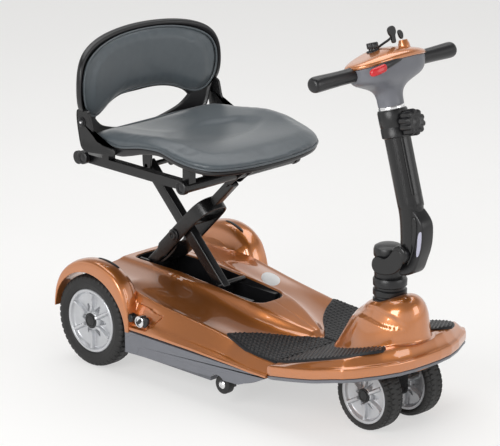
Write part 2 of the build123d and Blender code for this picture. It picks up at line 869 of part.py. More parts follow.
# Brackets and cheeks are built tall, then cut off just under the pan
post_top_z = rail_z + 60.0
cut_above = 80.0


def side_band(low_line, low_shift, high_line, high_shift):
    """Outline in the side view between two lines of (ahead, z), each moved up or down."""
    lower = [(at(ahead), z + low_shift) for ahead, z in low_line]
    upper = [(at(ahead), z + high_shift) for ahead, z in reversed(high_line)]
    return (*lower, *upper)


# Seat frame, pan and cushion
with BuildPart() as seat_frame:
    for side in (1, -1):
        rail_from = side * (rail_y - rail_width / 2)
        rail_to = side * (rail_y + rail_width / 2)
        rail_low = rail_z - rail_width / 2
        block(at(seat_rear_ahead), at(seat_tube_ahead), rail_from, rail_to, rail_low, rail_low + rail_width)
        for ahead in (foot_rear, seat_tube_ahead):
            block(at(ahead - bracket_half), at(ahead + bracket_half), rail_from, rail_to, rail_z, post_top_z)
    for ahead in (seat_rear_ahead, seat_tube_ahead):
        rod(at(ahead), rail_z, cross_tube_radius, -rail_y - rail_width / 2 - 4, rail_y + rail_width / 2 + 4)
        for side in (1, -1):
            plug_from = side * (rail_y + rail_width / 2 + 4)
            rod(at(ahead), rail_z, plug_radius, plug_from, plug_from + side * plug_thick)
    with BuildSketch(side_plane(0)):
        with BuildLine():
            Polyline(*side_band(pan_line, -seam, pan_line, cut_above), close=True)
        make_face()
    extrude(amount=pan_half, both=True, mode=Mode.SUBTRACT)
keep(seat_frame, "seat_frame")

with BuildPart() as seat_hinges:
    for side in (1, -1):
        cheek_from = side * (hinge_cheek - 4)
        cheek_to = side * hinge_cheek
        block(at(foot_rear - 14), at(foot_rear + 14), cheek_from, cheek_to, top_z - 12, post_top_z)
        rod(at(foot_rear), top_z, pin_radius + running_gap, cheek_from, cheek_to, Mode.SUBTRACT)
        runner_from = side * runner_inner
        runner_outer = side * (runner_inner + 4)
        block(at(runner_rear), at(runner_front), runner_from, runner_outer, top_z - 12, post_top_z)
        rod(at(seat_tube_ahead), rail_z, cross_tube_radius + running_gap, 0, runner_outer, Mode.SUBTRACT)
        slot_low = top_z - pin_radius - 1
        slot_high = top_z + pin_radius + 1
        block(at(foot_front - 8), at(runner_front - 12), 0, runner_outer, slot_low, slot_high, Mode.SUBTRACT)
    with BuildSketch(side_plane(0)):
        with BuildLine():
            Polyline(*side_band(pan_line, -seam, pan_line, cut_above), close=True)
        make_face()
    extrude(amount=pan_half, both=True, mode=Mode.SUBTRACT)
keep(seat_hinges, "seat_hinges")

with BuildPart() as seat_pan:
    with BuildSketch(side_plane(0)):
        with BuildLine():
            Polyline(*side_band(pan_line, 0, pan_line, pan_thick), close=True)
        make_face()
    extrude(amount=pan_half, both=True)
    with BuildSketch(Plane.XY.offset(rail_z)):
        with Locations((at((pan_rear_ahead + pan_front_ahead) / 2), 0)):
            pan_length = pan_front_ahead - pan_rear_ahead
            RectangleRounded(pan_length, 2 * pan_half, cushion_corner - 12)
    extrude(amount=120, mode=Mode.INTERSECT)
    for side in (1, -1):
        with BuildSketch(side_plane(side * ear_outer_y)):
            with BuildLine():
                Polyline(
                    (at(-34), 486),
                    (at(40), 488),
                    (at(66), 498),
                    (at(24), 507),
                    (at(4), 517),
                    (at(ear_ahead + 24), ear_z + 12),
                    (at(ear_ahead + 18), ear_z + 26),
                    (at(ear_ahead - 14), ear_z + 28),
                    (at(-46), 500),
                    close=True,
                )
            make_face()
        extrude(amount=side * ear_thick)
        block(at(6), at(44), side * (pan_half - 20), side * ear_outer_y, 491, 499)
        ear_hole = 6 + running_gap
        rod(at(ear_ahead), ear_z, ear_hole, side * pan_half, side * (ear_outer_y + 1), Mode.SUBTRACT)
keep(seat_pan, "seat_pan")

with BuildPart() as seat_cushion:
    with BuildSketch(side_plane(0)):
        with BuildLine():
            Polyline(*side_band(pan_line, pan_thick + running_gap, cushion_line, 0), close=True)
        make_face()
    extrude(amount=cushion_half, both=True)
    with BuildSketch(Plane.XY.offset(rail_z)):
        with Locations((at((cushion_rear_ahead + cushion_front_ahead) / 2), 0)):
            cushion_length = cushion_front_ahead - cushion_rear_ahead
            RectangleRounded(cushion_length, 2 * cushion_half, cushion_corner)
    extrude(amount=120, mode=Mode.INTERSECT)
keep(seat_cushion, "seat_cushion")

# Backrest: a bowed shell with a lens opening, its pad, and the pins in the ears
back_radius = (back_half**2 + back_bow**2) / (2 * back_bow)
back_centre_x = at(ear_ahead - 4 - back_bow) + back_radius
ear_inner_y = ear_outer_y - ear_thick
back_plane = Plane(origin=(at(ear_ahead - 90), 0, 0), x_dir=(0, 1, 0), z_dir=(1, 0, 0))

# Half outlines as (across, z), from the top middle to the bottom
shell_half = (
    (60, 726),
    (118, 719),
    (168, 704),
    (198, 682),
    (210, 655),
    (back_half, 622),
    (206, 594),
    (ear_inner_y - 2, ear_z + 33),
    (ear_inner_y - 4, 530),
    (178, 508),
    (150, 486),
    (105, 475),
    (50, back_bottom_z),
)
pad_half = (
    (60, 712),
    (112, 704),
    (156, 689),
    (188, 668),
    (200, 636),
    (196, 596),
    (184, 568),
    (160, 552),
    (138, 554),
    (100, 571),
    (56, 581),
)


def full_outline(half):
    """A closed outline from its right half."""
    return (*half, *((-y, z) for y, z in reversed(half)))


with BuildPart() as back_shell:
    with BuildSketch(Plane.XY.offset(back_bottom_z)):
        with Locations((back_centre_x, 0)):
            Circle(back_radius)
            Circle(back_radius - back_thick, mode=Mode.SUBTRACT)
    extrude(amount=back_top_z - back_bottom_z)
    with BuildSketch(back_plane):
        with BuildLine():
            Polyline(*full_outline(shell_half), close=True)
        make_face()
        with BuildLine():
            ThreePointArc((-lens_half, lens_tip_z), (0, lens_top_z), (lens_half, lens_tip_z))
            ThreePointArc((lens_half, lens_tip_z), (0, lens_low_z), (-lens_half, lens_tip_z))
        make_face(mode=Mode.SUBTRACT)
    extrude(amount=120, mode=Mode.INTERSECT)
    for side in (1, -1):
        rod(at(ear_ahead), ear_z, 6, side * (ear_inner_y - 14), side * (ear_outer_y + 2))
keep(back_shell, "back_shell")

with BuildPart() as back_pad:
    with BuildSketch(Plane.XY.offset(back_bottom_z)):
        with Locations((back_centre_x, 0)):
            Circle(back_radius - back_thick - running_gap)
            Circle(back_radius - back_thick - pad_thick, mode=Mode.SUBTRACT)
    extrude(amount=back_top_z - back_bottom_z)
    with BuildSketch(back_plane):
        with BuildLine():
            Polyline(*full_outline(pad_half), close=True)
        make_face()
    extrude(amount=140, mode=Mode.INTERSECT)
keep(back_pad, "back_pad")
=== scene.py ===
# %% [markdown]
# # A folding mobility scooter
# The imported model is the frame: every wheel, leg and tube already stands at its real place and rides on the
# body that moves it. These cells dress it. Each new piece is a surface worked out with numpy, and each finish
# is a small graph of nodes.

# %% Load the frame
import json
import math

import bpy
import numpy as np
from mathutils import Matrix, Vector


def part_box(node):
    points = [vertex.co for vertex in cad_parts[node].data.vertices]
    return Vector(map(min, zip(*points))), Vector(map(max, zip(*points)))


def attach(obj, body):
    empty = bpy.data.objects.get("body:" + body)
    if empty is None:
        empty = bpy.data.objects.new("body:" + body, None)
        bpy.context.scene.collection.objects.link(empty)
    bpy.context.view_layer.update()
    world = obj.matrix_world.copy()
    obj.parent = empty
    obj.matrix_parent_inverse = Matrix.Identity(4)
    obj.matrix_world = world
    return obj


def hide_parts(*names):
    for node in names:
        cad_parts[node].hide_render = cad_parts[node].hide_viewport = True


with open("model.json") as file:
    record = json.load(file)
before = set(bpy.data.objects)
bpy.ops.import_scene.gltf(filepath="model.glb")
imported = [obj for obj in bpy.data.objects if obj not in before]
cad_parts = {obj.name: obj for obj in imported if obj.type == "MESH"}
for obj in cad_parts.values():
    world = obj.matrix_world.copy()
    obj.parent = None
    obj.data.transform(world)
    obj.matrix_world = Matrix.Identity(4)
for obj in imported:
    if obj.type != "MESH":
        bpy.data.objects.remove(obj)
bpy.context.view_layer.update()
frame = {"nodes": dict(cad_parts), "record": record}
nodes = frame["nodes"]
MM = 0.001

# %% [markdown]
# ## Places
# Lengths along the scooter are easiest to read as distances ahead of the rear axle, so one helper turns
# (ahead, y, z) in millimetres into points of the frame in metres. The axle's place comes from the wheel itself.

# %% Places
rear_wheel_low, rear_wheel_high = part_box("rear_rim_left")
REAR_AXLE = (rear_wheel_low[0] + rear_wheel_high[0]) / 2 / MM


def place(ahead, across, height):
    """Points in metres from arrays in millimetres; ahead counts from the rear axle."""
    ahead, across, height = np.broadcast_arrays(ahead, across, height)
    return np.stack([(ahead + REAR_AXLE) * MM, across * MM, height * MM], axis=-1).astype(float)


print("rear axle at x =", round(REAR_AXLE, 2), "mm")

# %% [markdown]
# ## Camera
# A long lens from the front right of the scooter, a little above it. The three angles and the distance were
# solved from the wheels and the symmetric body.

# %% Camera
EYE = place(5179.9, -4876.5, 2498.8)
YAW = math.radians(135.14)
PITCH = math.radians(-17.315)
LENS = 240.5

camera_data = bpy.data.cameras.new("studio_camera")
camera_data.lens = LENS
camera_data.sensor_width = 36.0
camera_data.clip_end = 100.0
camera = bpy.data.objects.new("studio_camera", camera_data)
bpy.context.collection.objects.link(camera)
camera.location = EYE
camera.rotation_euler = (math.radians(90) + PITCH, 0, YAW - math.radians(90))
bpy.context.scene.camera = camera

# %% [markdown]
# ## Studio
# The photograph has a near-white sweep with soft light from above and the left. One pale floor carries the
# shadow, a pale world lights the rest, and large area lamps draw long soft highlights on the paint.

# %% Studio
FLOOR_COLOUR = (0.92, 0.915, 0.905)
# The backdrop is part of the floor's own finish, and only rays that the camera sees meet it
BACKDROP_COLOUR = (0.98, 0.975, 0.965)
BACKDROP_SHARE = 0.55
# Brightness of the room by the height of the direction, from straight down to straight up
ROOM_LIGHT = [(0.0, 0.30), (0.49, 0.42), (0.52, 0.92), (0.66, 0.96), (0.78, 0.30), (1.0, 0.22)]

bpy.context.scene.view_settings.view_transform = "Standard"
world = bpy.data.worlds.new("studio_world")
bpy.context.scene.world = world
world.use_nodes = True
world_nodes = world.node_tree.nodes
world_links = world.node_tree.links
direction = world_nodes.new("ShaderNodeTexCoord")
height_part = world_nodes.new("ShaderNodeSeparateXYZ")
world_links.new(direction.outputs["Generated"], height_part.inputs[0])
height_share = world_nodes.new("ShaderNodeMapRange")
height_share.inputs["From Min"].default_value = -1.0
world_links.new(height_part.outputs["Z"], height_share.inputs["Value"])
room_ramp = world_nodes.new("ShaderNodeValToRGB")
for number, (position, light) in enumerate(ROOM_LIGHT):
    stop = room_ramp.color_ramp.elements[number] if number < 2 else room_ramp.color_ramp.elements.new(position)
    stop.position = position
    stop.color = (light, light * 0.995, light * 0.985, 1)
world_links.new(height_share.outputs["Result"], room_ramp.inputs["Fac"])
world_links.new(room_ramp.outputs["Color"], world_nodes["Background"].inputs["Color"])


def add_lamp(name, location, target, size, power):
    """A square area lamp that points at a target."""
    lamp_data = bpy.data.lights.new(name, "AREA")
    lamp_data.shape = "RECTANGLE"
    lamp_data.size, lamp_data.size_y = size
    lamp_data.energy = power
    lamp = bpy.data.objects.new(name, lamp_data)
    bpy.context.collection.objects.link(lamp)
    lamp.location = location
    direction = np.array(target) - np.array(location)
    lamp.rotation_euler = bpy_direction(direction)
    return lamp


def bpy_direction(direction):
    """Euler angles that turn a lamp's -Z along a direction."""
    from mathutils import Vector
    return Vector(direction).to_track_quat("-Z", "Y").to_euler()


add_lamp("overhead_softbox", (-0.5, 0.5, 3.0), (0.0, 0.0, 0.2), (3.2, 2.6), 58)
add_lamp("left_softbox", (0.6, -2.6, 1.5), (0.0, 0.0, 0.3), (1.6, 1.4), 42)
add_lamp("front_softbox", (2.9, 0.9, 1.4), (0.1, 0.0, 0.3), (1.4, 1.4), 14)

# %% Floor
floor_mesh = bpy.data.meshes.new("studio_floor")
floor_half = 30.0
floor_mesh.from_pydata(
    [(-floor_half, -floor_half, 0), (floor_half, -floor_half, 0), (floor_half, floor_half, 0), (-floor_half, floor_half, 0)],
    [],
    [(0, 1, 2, 3)],
)
studio_floor = bpy.data.objects.new("studio_floor", floor_mesh)
bpy.context.collection.objects.link(studio_floor)

# %% [markdown]
# ## Finishes
# Each finish is a Principled shader with a little noise in colour, roughness and height, read from Object
# coordinates so that it stays still on its piece in every pose.

# %% Finish helper


def finish(name, colour, roughness, metallic=0.0, specular=0.5, coat=0.0, coat_roughness=0.05, coat_ior=1.5,
           mottle=0.0, mottle_scale=40.0, grain=0.0, grain_scale=900.0, rough_swing=0.0, sheen=0.0):
    """A procedural finish: base colour mottled by noise, fine grain as bump, uneven roughness."""
    material = bpy.data.materials.new(name)
    material.use_nodes = True
    tree = material.node_tree
    shader = tree.nodes["Principled BSDF"]
    shader.inputs["Metallic"].default_value = metallic
    shader.inputs["Roughness"].default_value = roughness
    shader.inputs["Specular IOR Level"].default_value = specular
    shader.inputs["Coat Weight"].default_value = coat
    shader.inputs["Coat Roughness"].default_value = coat_roughness
    shader.inputs["Coat IOR"].default_value = coat_ior
    shader.inputs["Sheen Weight"].default_value = sheen
    coordinates = tree.nodes.new("ShaderNodeTexCoord")
    broad = tree.nodes.new("ShaderNodeTexNoise")
    broad.inputs["Scale"].default_value = mottle_scale
    broad.inputs["Detail"].default_value = 5.0
    tree.links.new(coordinates.outputs["Object"], broad.inputs["Vector"])
    ramp = tree.nodes.new("ShaderNodeValToRGB")
    ramp.color_ramp.elements[0].position = 0.3
    ramp.color_ramp.elements[1].position = 0.7
    ramp.color_ramp.elements[0].color = (*[c * (1 - mottle) for c in colour], 1)
    ramp.color_ramp.elements[1].color = (*[min(1.0, c * (1 + mottle)) for c in colour], 1)
    tree.links.new(broad.outputs["Fac"], ramp.inputs["Fac"])
    tree.links.new(ramp.outputs["Color"], shader.inputs["Base Color"])
    if rough_swing:
        swing = tree.nodes.new("ShaderNodeMapRange")
        swing.inputs["To Min"].default_value = max(0.02, roughness - rough_swing)
        swing.inputs["To Max"].default_value = min(1.0, roughness + rough_swing)
        tree.links.new(broad.outputs["Fac"], swing.inputs["Value"])
        tree.links.new(swing.outputs["Result"], shader.inputs["Roughness"])
    if grain:
        fine = tree.nodes.new("ShaderNodeTexNoise")
        fine.inputs["Scale"].default_value = grain_scale
        fine.inputs["Detail"].default_value = 3.0
        tree.links.new(coordinates.outputs["Object"], fine.inputs["Vector"])
        bump = tree.nodes.new("ShaderNodeBump")
        bump.inputs["Strength"].default_value = grain
        bump.inputs["Distance"].default_value = 0.0005
        tree.links.new(fine.outputs["Fac"], bump.inputs["Height"])
        tree.links.new(bump.outputs["Normal"], shader.inputs["Normal"])
    return material


# %% Finishes
copper_paint = finish("copper_paint", (0.52, 0.170, 0.036), 0.34, metallic=0.72, coat=1.0, coat_roughness=0.015,
                      coat_ior=1.85, mottle=0.06, mottle_scale=900.0, rough_swing=0.04)
grey_plastic = finish("grey_plastic", (0.15, 0.155, 0.175), 0.36, mottle=0.04, grain=0.15, grain_scale=1400.0)
black_plastic = finish("black_plastic", (0.008, 0.008, 0.009), 0.32, mottle=0.1, grain=0.2, grain_scale=1400.0)
black_metal = finish("black_metal", (0.006, 0.006, 0.0065), 0.24, specular=0.5, mottle=0.12, grain=0.25,
                     grain_scale=1800.0, rough_swing=0.05)
bright_metal = finish("bright_metal", (0.80, 0.80, 0.81), 0.18, metallic=1.0, mottle=0.03)
rim_silver = finish("rim_silver", (0.52, 0.53, 0.55), 0.34, metallic=0.6, coat=0.3, mottle=0.05)
tyre_rubber = finish("tyre_rubber", (0.010, 0.0098, 0.0098), 0.58, mottle=0.15, grain=0.4, grain_scale=1200.0)
mat_rubber = finish("mat_rubber", (0.006, 0.006, 0.0075), 0.40, specular=0.35, mottle=0.15, grain=0.4, grain_scale=1500.0)
leatherette = finish("leatherette", (0.066, 0.080, 0.090), 0.31, mottle=0.06, mottle_scale=60.0, grain=0.35,
                     grain_scale=1300.0, sheen=0.1)
red_plastic = finish("red_plastic", (0.55, 0.02, 0.025), 0.22, mottle=0.04)
floor_finish = finish("floor_finish", FLOOR_COLOUR, 0.7, mottle=0.01, mottle_scale=2.0)
floor_nodes, floor_links = floor_finish.node_tree.nodes, floor_finish.node_tree.links
ray = floor_nodes.new("ShaderNodeLightPath")
camera_or_glossy = floor_nodes.new("ShaderNodeMath")
camera_or_glossy.operation = "MAXIMUM"
floor_links.new(ray.outputs["Is Camera Ray"], camera_or_glossy.inputs[0])
floor_links.new(ray.outputs["Is Glossy Ray"], camera_or_glossy.inputs[1])
seen = floor_nodes.new("ShaderNodeMath")
seen.operation = "MAXIMUM"
floor_links.new(camera_or_glossy.outputs["Value"], seen.inputs[0])
floor_links.new(ray.outputs["Is Transmission Ray"], seen.inputs[1])
backdrop_share = floor_nodes.new("ShaderNodeMath")
backdrop_share.operation = "MULTIPLY"
backdrop_share.inputs[1].default_value = BACKDROP_SHARE
floor_links.new(seen.outputs["Value"], backdrop_share.inputs[0])
backdrop = floor_nodes.new("ShaderNodeEmission")
backdrop.inputs["Color"].default_value = (*BACKDROP_COLOUR, 1)
backdrop_mix = floor_nodes.new("ShaderNodeMixShader")
floor_links.new(backdrop_share.outputs["Value"], backdrop_mix.inputs["Fac"])
floor_links.new(floor_nodes["Principled BSDF"].outputs["BSDF"], backdrop_mix.inputs[1])
floor_links.new(backdrop.outputs["Emission"], backdrop_mix.inputs[2])
floor_links.new(backdrop_mix.outputs["Shader"], floor_nodes["Material Output"].inputs["Surface"])
studio_floor.data.materials.append(floor_finish)

slot_finish = {
    "body_paint": copper_paint,
    "grey_plastic": grey_plastic,
    "black_plastic": black_plastic,
    "black_metal": black_metal,
    "bright_tube": bright_metal,
    "rim_metal": rim_silver,
    "tyre": tyre_rubber,
    "mat_rubber": mat_rubber,
    "cushion": leatherette,
    "red_plastic": red_plastic,
}
for part in frame["record"]["subparts"]:
    node = nodes[part["node"]]
    node.data.materials.clear()
    node.data.materials.append(slot_finish[part["material_slot"]])

# %% [markdown]
# ## Tools for surfaces
# Every new piece below is a grid of points, worked out as whole arrays. Three small tools make the grids: a
# curve that never overshoots its points, a B-spline that rounds a control polygon, and a builder that puts a
# grid into a mesh, closes its ends and turns its faces outwards.

# %% Curves


def through(stations, values, at):
    """Monotone cubic through points: slopes are harmonic means of the neighbouring secants."""
    stations = np.asarray(stations, float)
    values = np.asarray(values, float)
    at = np.asarray(at, float)
    flat = values.reshape(len(stations), -1)
    step = np.diff(stations)[:, None]
    secant = np.diff(flat, axis=0) / step
    slope = np.zeros_like(flat)
    same = secant[:-1] * secant[1:] > 0
    total = np.where(same, secant[:-1] + secant[1:], 1)
    slope[1:-1] = np.where(same, 2 * secant[:-1] * secant[1:] / total, 0)
    slope[0] = secant[0]
    slope[-1] = secant[-1]
    cell = np.clip(np.searchsorted(stations, at) - 1, 0, len(stations) - 2)
    width = step[cell]
    t = np.clip((at[..., None] - stations[cell][..., None]) / width, 0, 1)
    low, high = flat[cell], flat[cell + 1]
    curve = ((2 * t**3 - 3 * t**2 + 1) * low + (t**3 - 2 * t**2 + t) * width * slope[cell]
             + (3 * t**2 - 2 * t**3) * high + (t**3 - t**2) * width * slope[cell + 1])
    return curve.reshape(at.shape + values.shape[1:])


def spline_weights(count, samples, degree=2, closed=False):
    """Weights of a uniform B-spline (Cox and de Boor), one row per sample and one column per control point."""
    if closed:
        knots = np.arange(-degree, count + degree + 1, dtype=float)
        at = np.linspace(0, count, samples, endpoint=False)
        columns = count + degree
    else:
        inner = np.arange(1, count - degree)
        knots = np.concatenate([np.zeros(degree + 1), inner, np.full(degree + 1, count - degree)]).astype(float)
        at = np.linspace(0, count - degree, samples)
        at[-1] -= 1e-9
        columns = count
    basis = ((knots[:-1] <= at[:, None]) & (at[:, None] < knots[1:])).astype(float)
    for order in range(1, degree + 1):
        left_width = knots[order:-1] - knots[:-order - 1]
        right_width = knots[order + 1:] - knots[1:-order]
        left = (at[:, None] - knots[:-order - 1]) / np.where(left_width > 0, left_width, 1) * (left_width > 0)
        right = (knots[order + 1:] - at[:, None]) / np.where(right_width > 0, right_width, 1) * (right_width > 0)
        basis = left * basis[:, :-1] + right * basis[:, 1:]
    if closed:
        wrapped = basis[:, :count].copy()
        wrapped[:, :columns - count] += basis[:, count:columns]
        return wrapped
    return basis[:, :columns]


def rounded(points, samples, degree=2, closed=False):
    """A B-spline curve that rounds a control polygon; the control points run along the first axis."""
    points = np.asarray(points, float)
    weights = spline_weights(len(points), samples, degree, closed)
    return np.tensordot(weights, points, axes=(1, 0))


def step_up(value, low, high):
    """Smooth step from 0 at low to 1 at high: 3t^2 - 2t^3."""
    t = np.clip((value - low) / (high - low), 0, 1)
    return t * t * (3 - 2 * t)


# %% Mesh builder


def grid_faces(rows, columns, wrap_rows=False, wrap_columns=False, first=0):
    """Corner numbers of the quads of a grid, as one array."""
    row = np.arange(rows if wrap_rows else rows - 1)
    column = np.arange(columns if wrap_columns else columns - 1)
    row, column = np.meshgrid(row, column, indexing="ij")
    row, column = row.ravel(), column.ravel()
    next_row, next_column = (row + 1) % rows, (column + 1) % columns
    return first + np.stack([row * columns + column, next_row * columns + column,
                             next_row * columns + next_column, row * columns + next_column], axis=1)


def mesh_object(name, points, quads, triangles=None):
    """Put points, quads and triangles into a mesh through foreach_set."""
    triangles = np.zeros((0, 3), int) if triangles is None else np.asarray(triangles, int).reshape(-1, 3)
    mesh = bpy.data.meshes.new(name)
    mesh.vertices.add(len(points))
    mesh.vertices.foreach_set("co", np.asarray(points, np.float32).ravel())
    corners = np.concatenate([quads.ravel(), triangles.ravel()]).astype(np.int32)
    sizes = np.concatenate([np.full(len(quads), 4), np.full(len(triangles), 3)])
    mesh.loops.add(len(corners))
    mesh.loops.foreach_set("vertex_index", corners)
    mesh.polygons.add(len(sizes))
    mesh.polygons.foreach_set("loop_start", np.concatenate([[0], np.cumsum(sizes)[:-1]]).astype(np.int32))
    mesh.polygons.foreach_set("use_smooth", np.ones(len(sizes), bool))
    mesh.update(calc_edges=True)
    mesh.validate()
    piece = bpy.data.objects.new(name, mesh)
    bpy.context.collection.objects.link(piece)
    return piece


def signed_volume(points, quads, triangles):
    """Six times the volume: the sum of the triple products of each face's corners, which is below 0 inside out."""
    fans = np.concatenate([quads[:, [0, 1, 2]], quads[:, [0, 2, 3]], triangles.reshape(-1, 3)])
    middle = points.mean(axis=0)
    a, b, c = (points[fans[:, corner]] - middle for corner in range(3))
    return np.einsum("ij,ij->i", a, np.cross(b, c)).sum()


def skin(name, grid, material, body, wrap_rows=False, wrap_columns=True, caps=True, crease=None):
    """A grid of points as a piece: rows of loops, closed at both ends by a fan, with its faces turned outwards."""
    rows, columns = grid.shape[:2]
    points = grid.reshape(-1, 3)
    quads = grid_faces(rows, columns, wrap_rows, wrap_columns)
    triangles = np.zeros((0, 3), int)
    if caps and wrap_columns and not wrap_rows:
        around = np.arange(columns)
        ahead = (around + 1) % columns
        centres = np.stack([grid[0].mean(axis=0), grid[-1].mean(axis=0)])
        first_cap = np.stack([np.full(columns, len(points)), around, ahead], axis=1)
        last = (rows - 1) * columns
        last_cap = np.stack([np.full(columns, len(points) + 1), last + ahead, last + around], axis=1)
        triangles = np.concatenate([first_cap, last_cap])
        points = np.concatenate([points, centres])
    if signed_volume(points, quads, triangles) < 0:
        quads = quads[:, ::-1]
        triangles = triangles[:, ::-1]
    piece = mesh_object(name, points, quads, triangles)
    dress(piece, material, body, crease)
    return piece


def dress(piece, material, body, crease=None):
    """Give a piece its finish and its body, and keep edges sharper than the crease angle."""
    piece.data.materials.append(material)
    if crease:
        piece.data.set_sharp_from_angle(angle=math.radians(crease))
    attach(piece, body)


def mirrored(grid):
    """The same grid on the other side of the scooter."""
    return grid * np.array([1, -1, 1])


print("surface tools ready")

# %% [markdown]
# ## Wheels
# A rear wheel is a fat rubber tyre with small tread blocks on a cast silver rim with six thin spokes. A lathe
# would give the round form but no tread and no spokes, so both are one surface of angle and profile, with the
# blocks and spokes added to it as small changes of radius and depth.

# %% Tyre surface


def tyre_grid(ahead, across, height, radius, rim_radius, width, blocks, around=420):
    """Angle times a rounded profile; grooves between the blocks lower the radius of the crown and shoulders."""
    half = width / 2
    wall = radius - rim_radius
    profile = np.array([
        (-half * 0.70, rim_radius - 2), (-half * 0.86, rim_radius + wall * 0.02), (-half * 0.98, rim_radius + wall * 0.25),
        (-half * 1.02, rim_radius + wall * 0.55), (-half * 0.95, rim_radius + wall * 0.84), (-half * 0.72, radius - wall * 0.02),
        (-half * 0.30, radius), (half * 0.30, radius), (half * 0.72, radius - wall * 0.02),
        (half * 0.95, rim_radius + wall * 0.84), (half * 1.02, rim_radius + wall * 0.55), (half * 0.98, rim_radius + wall * 0.25),
        (half * 0.86, rim_radius + wall * 0.02), (half * 0.70, rim_radius - 2),
    ])
    curve = rounded(profile, 64)
    side, reach = curve[:, 0], curve[:, 1]
    angle = np.linspace(0, 2 * np.pi, around, endpoint=False)[:, None]
    share = side / half
    lateral = np.cos(angle * blocks + np.sign(share) * 1.2 + share * 1.4)
    groove_across = step_up(lateral, 0.55, 0.85) * step_up(np.abs(share), 0.16, 0.24)
    groove_round = step_up(np.cos(share * np.pi * 3.2), 0.80, 0.95) * (np.abs(share) < 0.9)
    tread_zone = step_up(reach, rim_radius + wall * 0.62, rim_radius + wall * 0.80)
    depth = 2.6 * np.maximum(groove_across, groove_round) * tread_zone
    bead_line = 0.7 * np.exp(-(((reach - rim_radius - wall * 0.42) / 1.1) ** 2))
    reach = reach - depth
    side_out = side + np.sign(side) * bead_line
    return place(ahead + reach * np.sin(angle), across + side_out + 0 * angle, height + reach * np.cos(angle))


def rim_grid(ahead, across, height, radius, half, spokes, spoke_width, panel_depth, holes, facing, around=360):
    """Angle times a walk over both faces: the depth of a face is its dish, plus spokes, minus pits."""
    reach = np.concatenate([np.linspace(0.5, radius * 0.27, 7), np.linspace(radius * 0.30, radius * 0.88, 26),
                            np.linspace(radius * 0.90, radius, 9)])
    angle = np.linspace(0, 2 * np.pi, around, endpoint=False)[:, None]
    share = reach / radius
    dish = through([0, 0.25, 0.29, 0.34, 0.55, 0.84, 0.885, 0.91, 0.97, 1.0],
                   [half - 1, half - 1, half - 2.5, half - panel_depth * 0.75, half - panel_depth, half - panel_depth * 0.8,
                    half - panel_depth * 0.4, half + 0.6, half + 1.2, half - 1.0], share)
    nearest = np.abs((angle * spokes / (2 * np.pi) + 0.5) % 1 - 0.5) * 2 * np.pi / spokes * reach
    spoke = 1 - step_up(nearest, spoke_width * 0.35, spoke_width * 0.75)
    spoke = spoke * step_up(share, 0.27, 0.31) * (1 - step_up(share, 0.87, 0.90))
    middle = np.abs((angle * spokes / (2 * np.pi)) % 1 - 0.5) * 2 * np.pi / spokes * reach
    pit_half = np.clip((radius * 0.56 - reach) * 0.34, 0, radius)
    pit = holes * (1 - step_up(middle, pit_half, pit_half + 1.2)) * step_up(share, 0.31, 0.33)
    pit = pit * (1 - step_up(share, 0.50, 0.54))
    face = dish + spoke * panel_depth * 0.85 - pit * 9.0
    outer = facing * face
    inner = -facing * face
    walk_side = np.concatenate([outer, inner[:, ::-1]], axis=1)
    walk_reach = np.concatenate([reach, reach[::-1]])
    return place(ahead + walk_reach * np.sin(angle), across + walk_side, height + walk_reach * np.cos(angle))


def closed_wheel(name, grid, material, body):
    """A wheel surface: wraps around the angle, and its open ends at the hub are closed by fans."""
    return skin(name, np.swapaxes(grid, 0, 1), material, body, wrap_columns=True, crease=50)


# %% Rear wheels
REAR_R, REAR_RIM, REAR_WIDTH, REAR_MID = 104.0, 72.0, 50.0, 196.0
for side_name, side in (("left", 1), ("right", -1)):
    tyre = tyre_grid(0, side * REAR_MID, REAR_R, REAR_R, REAR_RIM, REAR_WIDTH, 46)
    tyre_piece = skin(f"tyre_rear_{side_name}", tyre, tyre_rubber, f"rear_wheel_{side_name}", wrap_rows=True,
                      wrap_columns=True, crease=60)
    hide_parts(f"rear_tyre_{side_name}")
    rim = rim_grid(0, side * REAR_MID, REAR_R, REAR_RIM, REAR_WIDTH / 2 - 4, 6, 7.0, 10.0, 1, side)
    rim_piece = closed_wheel(f"rim_rear_{side_name}", rim, rim_silver, f"rear_wheel_{side_name}")
    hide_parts(f"rear_rim_{side_name}")

# %% Front wheels
FRONT_AHEAD, FRONT_R, FRONT_RIM, FRONT_WIDTH, FRONT_MID = 698.0, 75.7, 61.0, 47.0, 61.5
for side_name, side in (("left", 1), ("right", -1)):
    tyre = tyre_grid(FRONT_AHEAD, side * FRONT_MID, FRONT_R, FRONT_R, FRONT_RIM, FRONT_WIDTH, 40, around=360)
    tyre_piece = skin(f"tyre_front_{side_name}", tyre, tyre_rubber, "front_wheels", wrap_rows=True,
                      wrap_columns=True, crease=60)
    rim = rim_grid(FRONT_AHEAD, side * FRONT_MID, FRONT_R, FRONT_RIM, FRONT_WIDTH / 2 - 4, 6, 6.5, 10.0, 1, side)
    rim_piece = closed_wheel(f"rim_front_{side_name}", rim, rim_silver, "front_wheels")
    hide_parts("front_tyres")
print("wheels made")

# %% Hub caps


def disc_grid(ahead, across, height, profile, facing, around=64):
    """A turned cap: angle times a profile of (radius, depth) from the middle outwards and back under."""
    profile = np.asarray(profile, float)
    angle = np.linspace(0, 2 * np.pi, around, endpoint=False)[:, None]
    reach, depth = profile[:, 0], profile[:, 1]
    ring = place(ahead + reach * np.sin(angle), across + facing * depth + 0 * angle, height + reach * np.cos(angle))
    return np.swapaxes(ring, 0, 1)


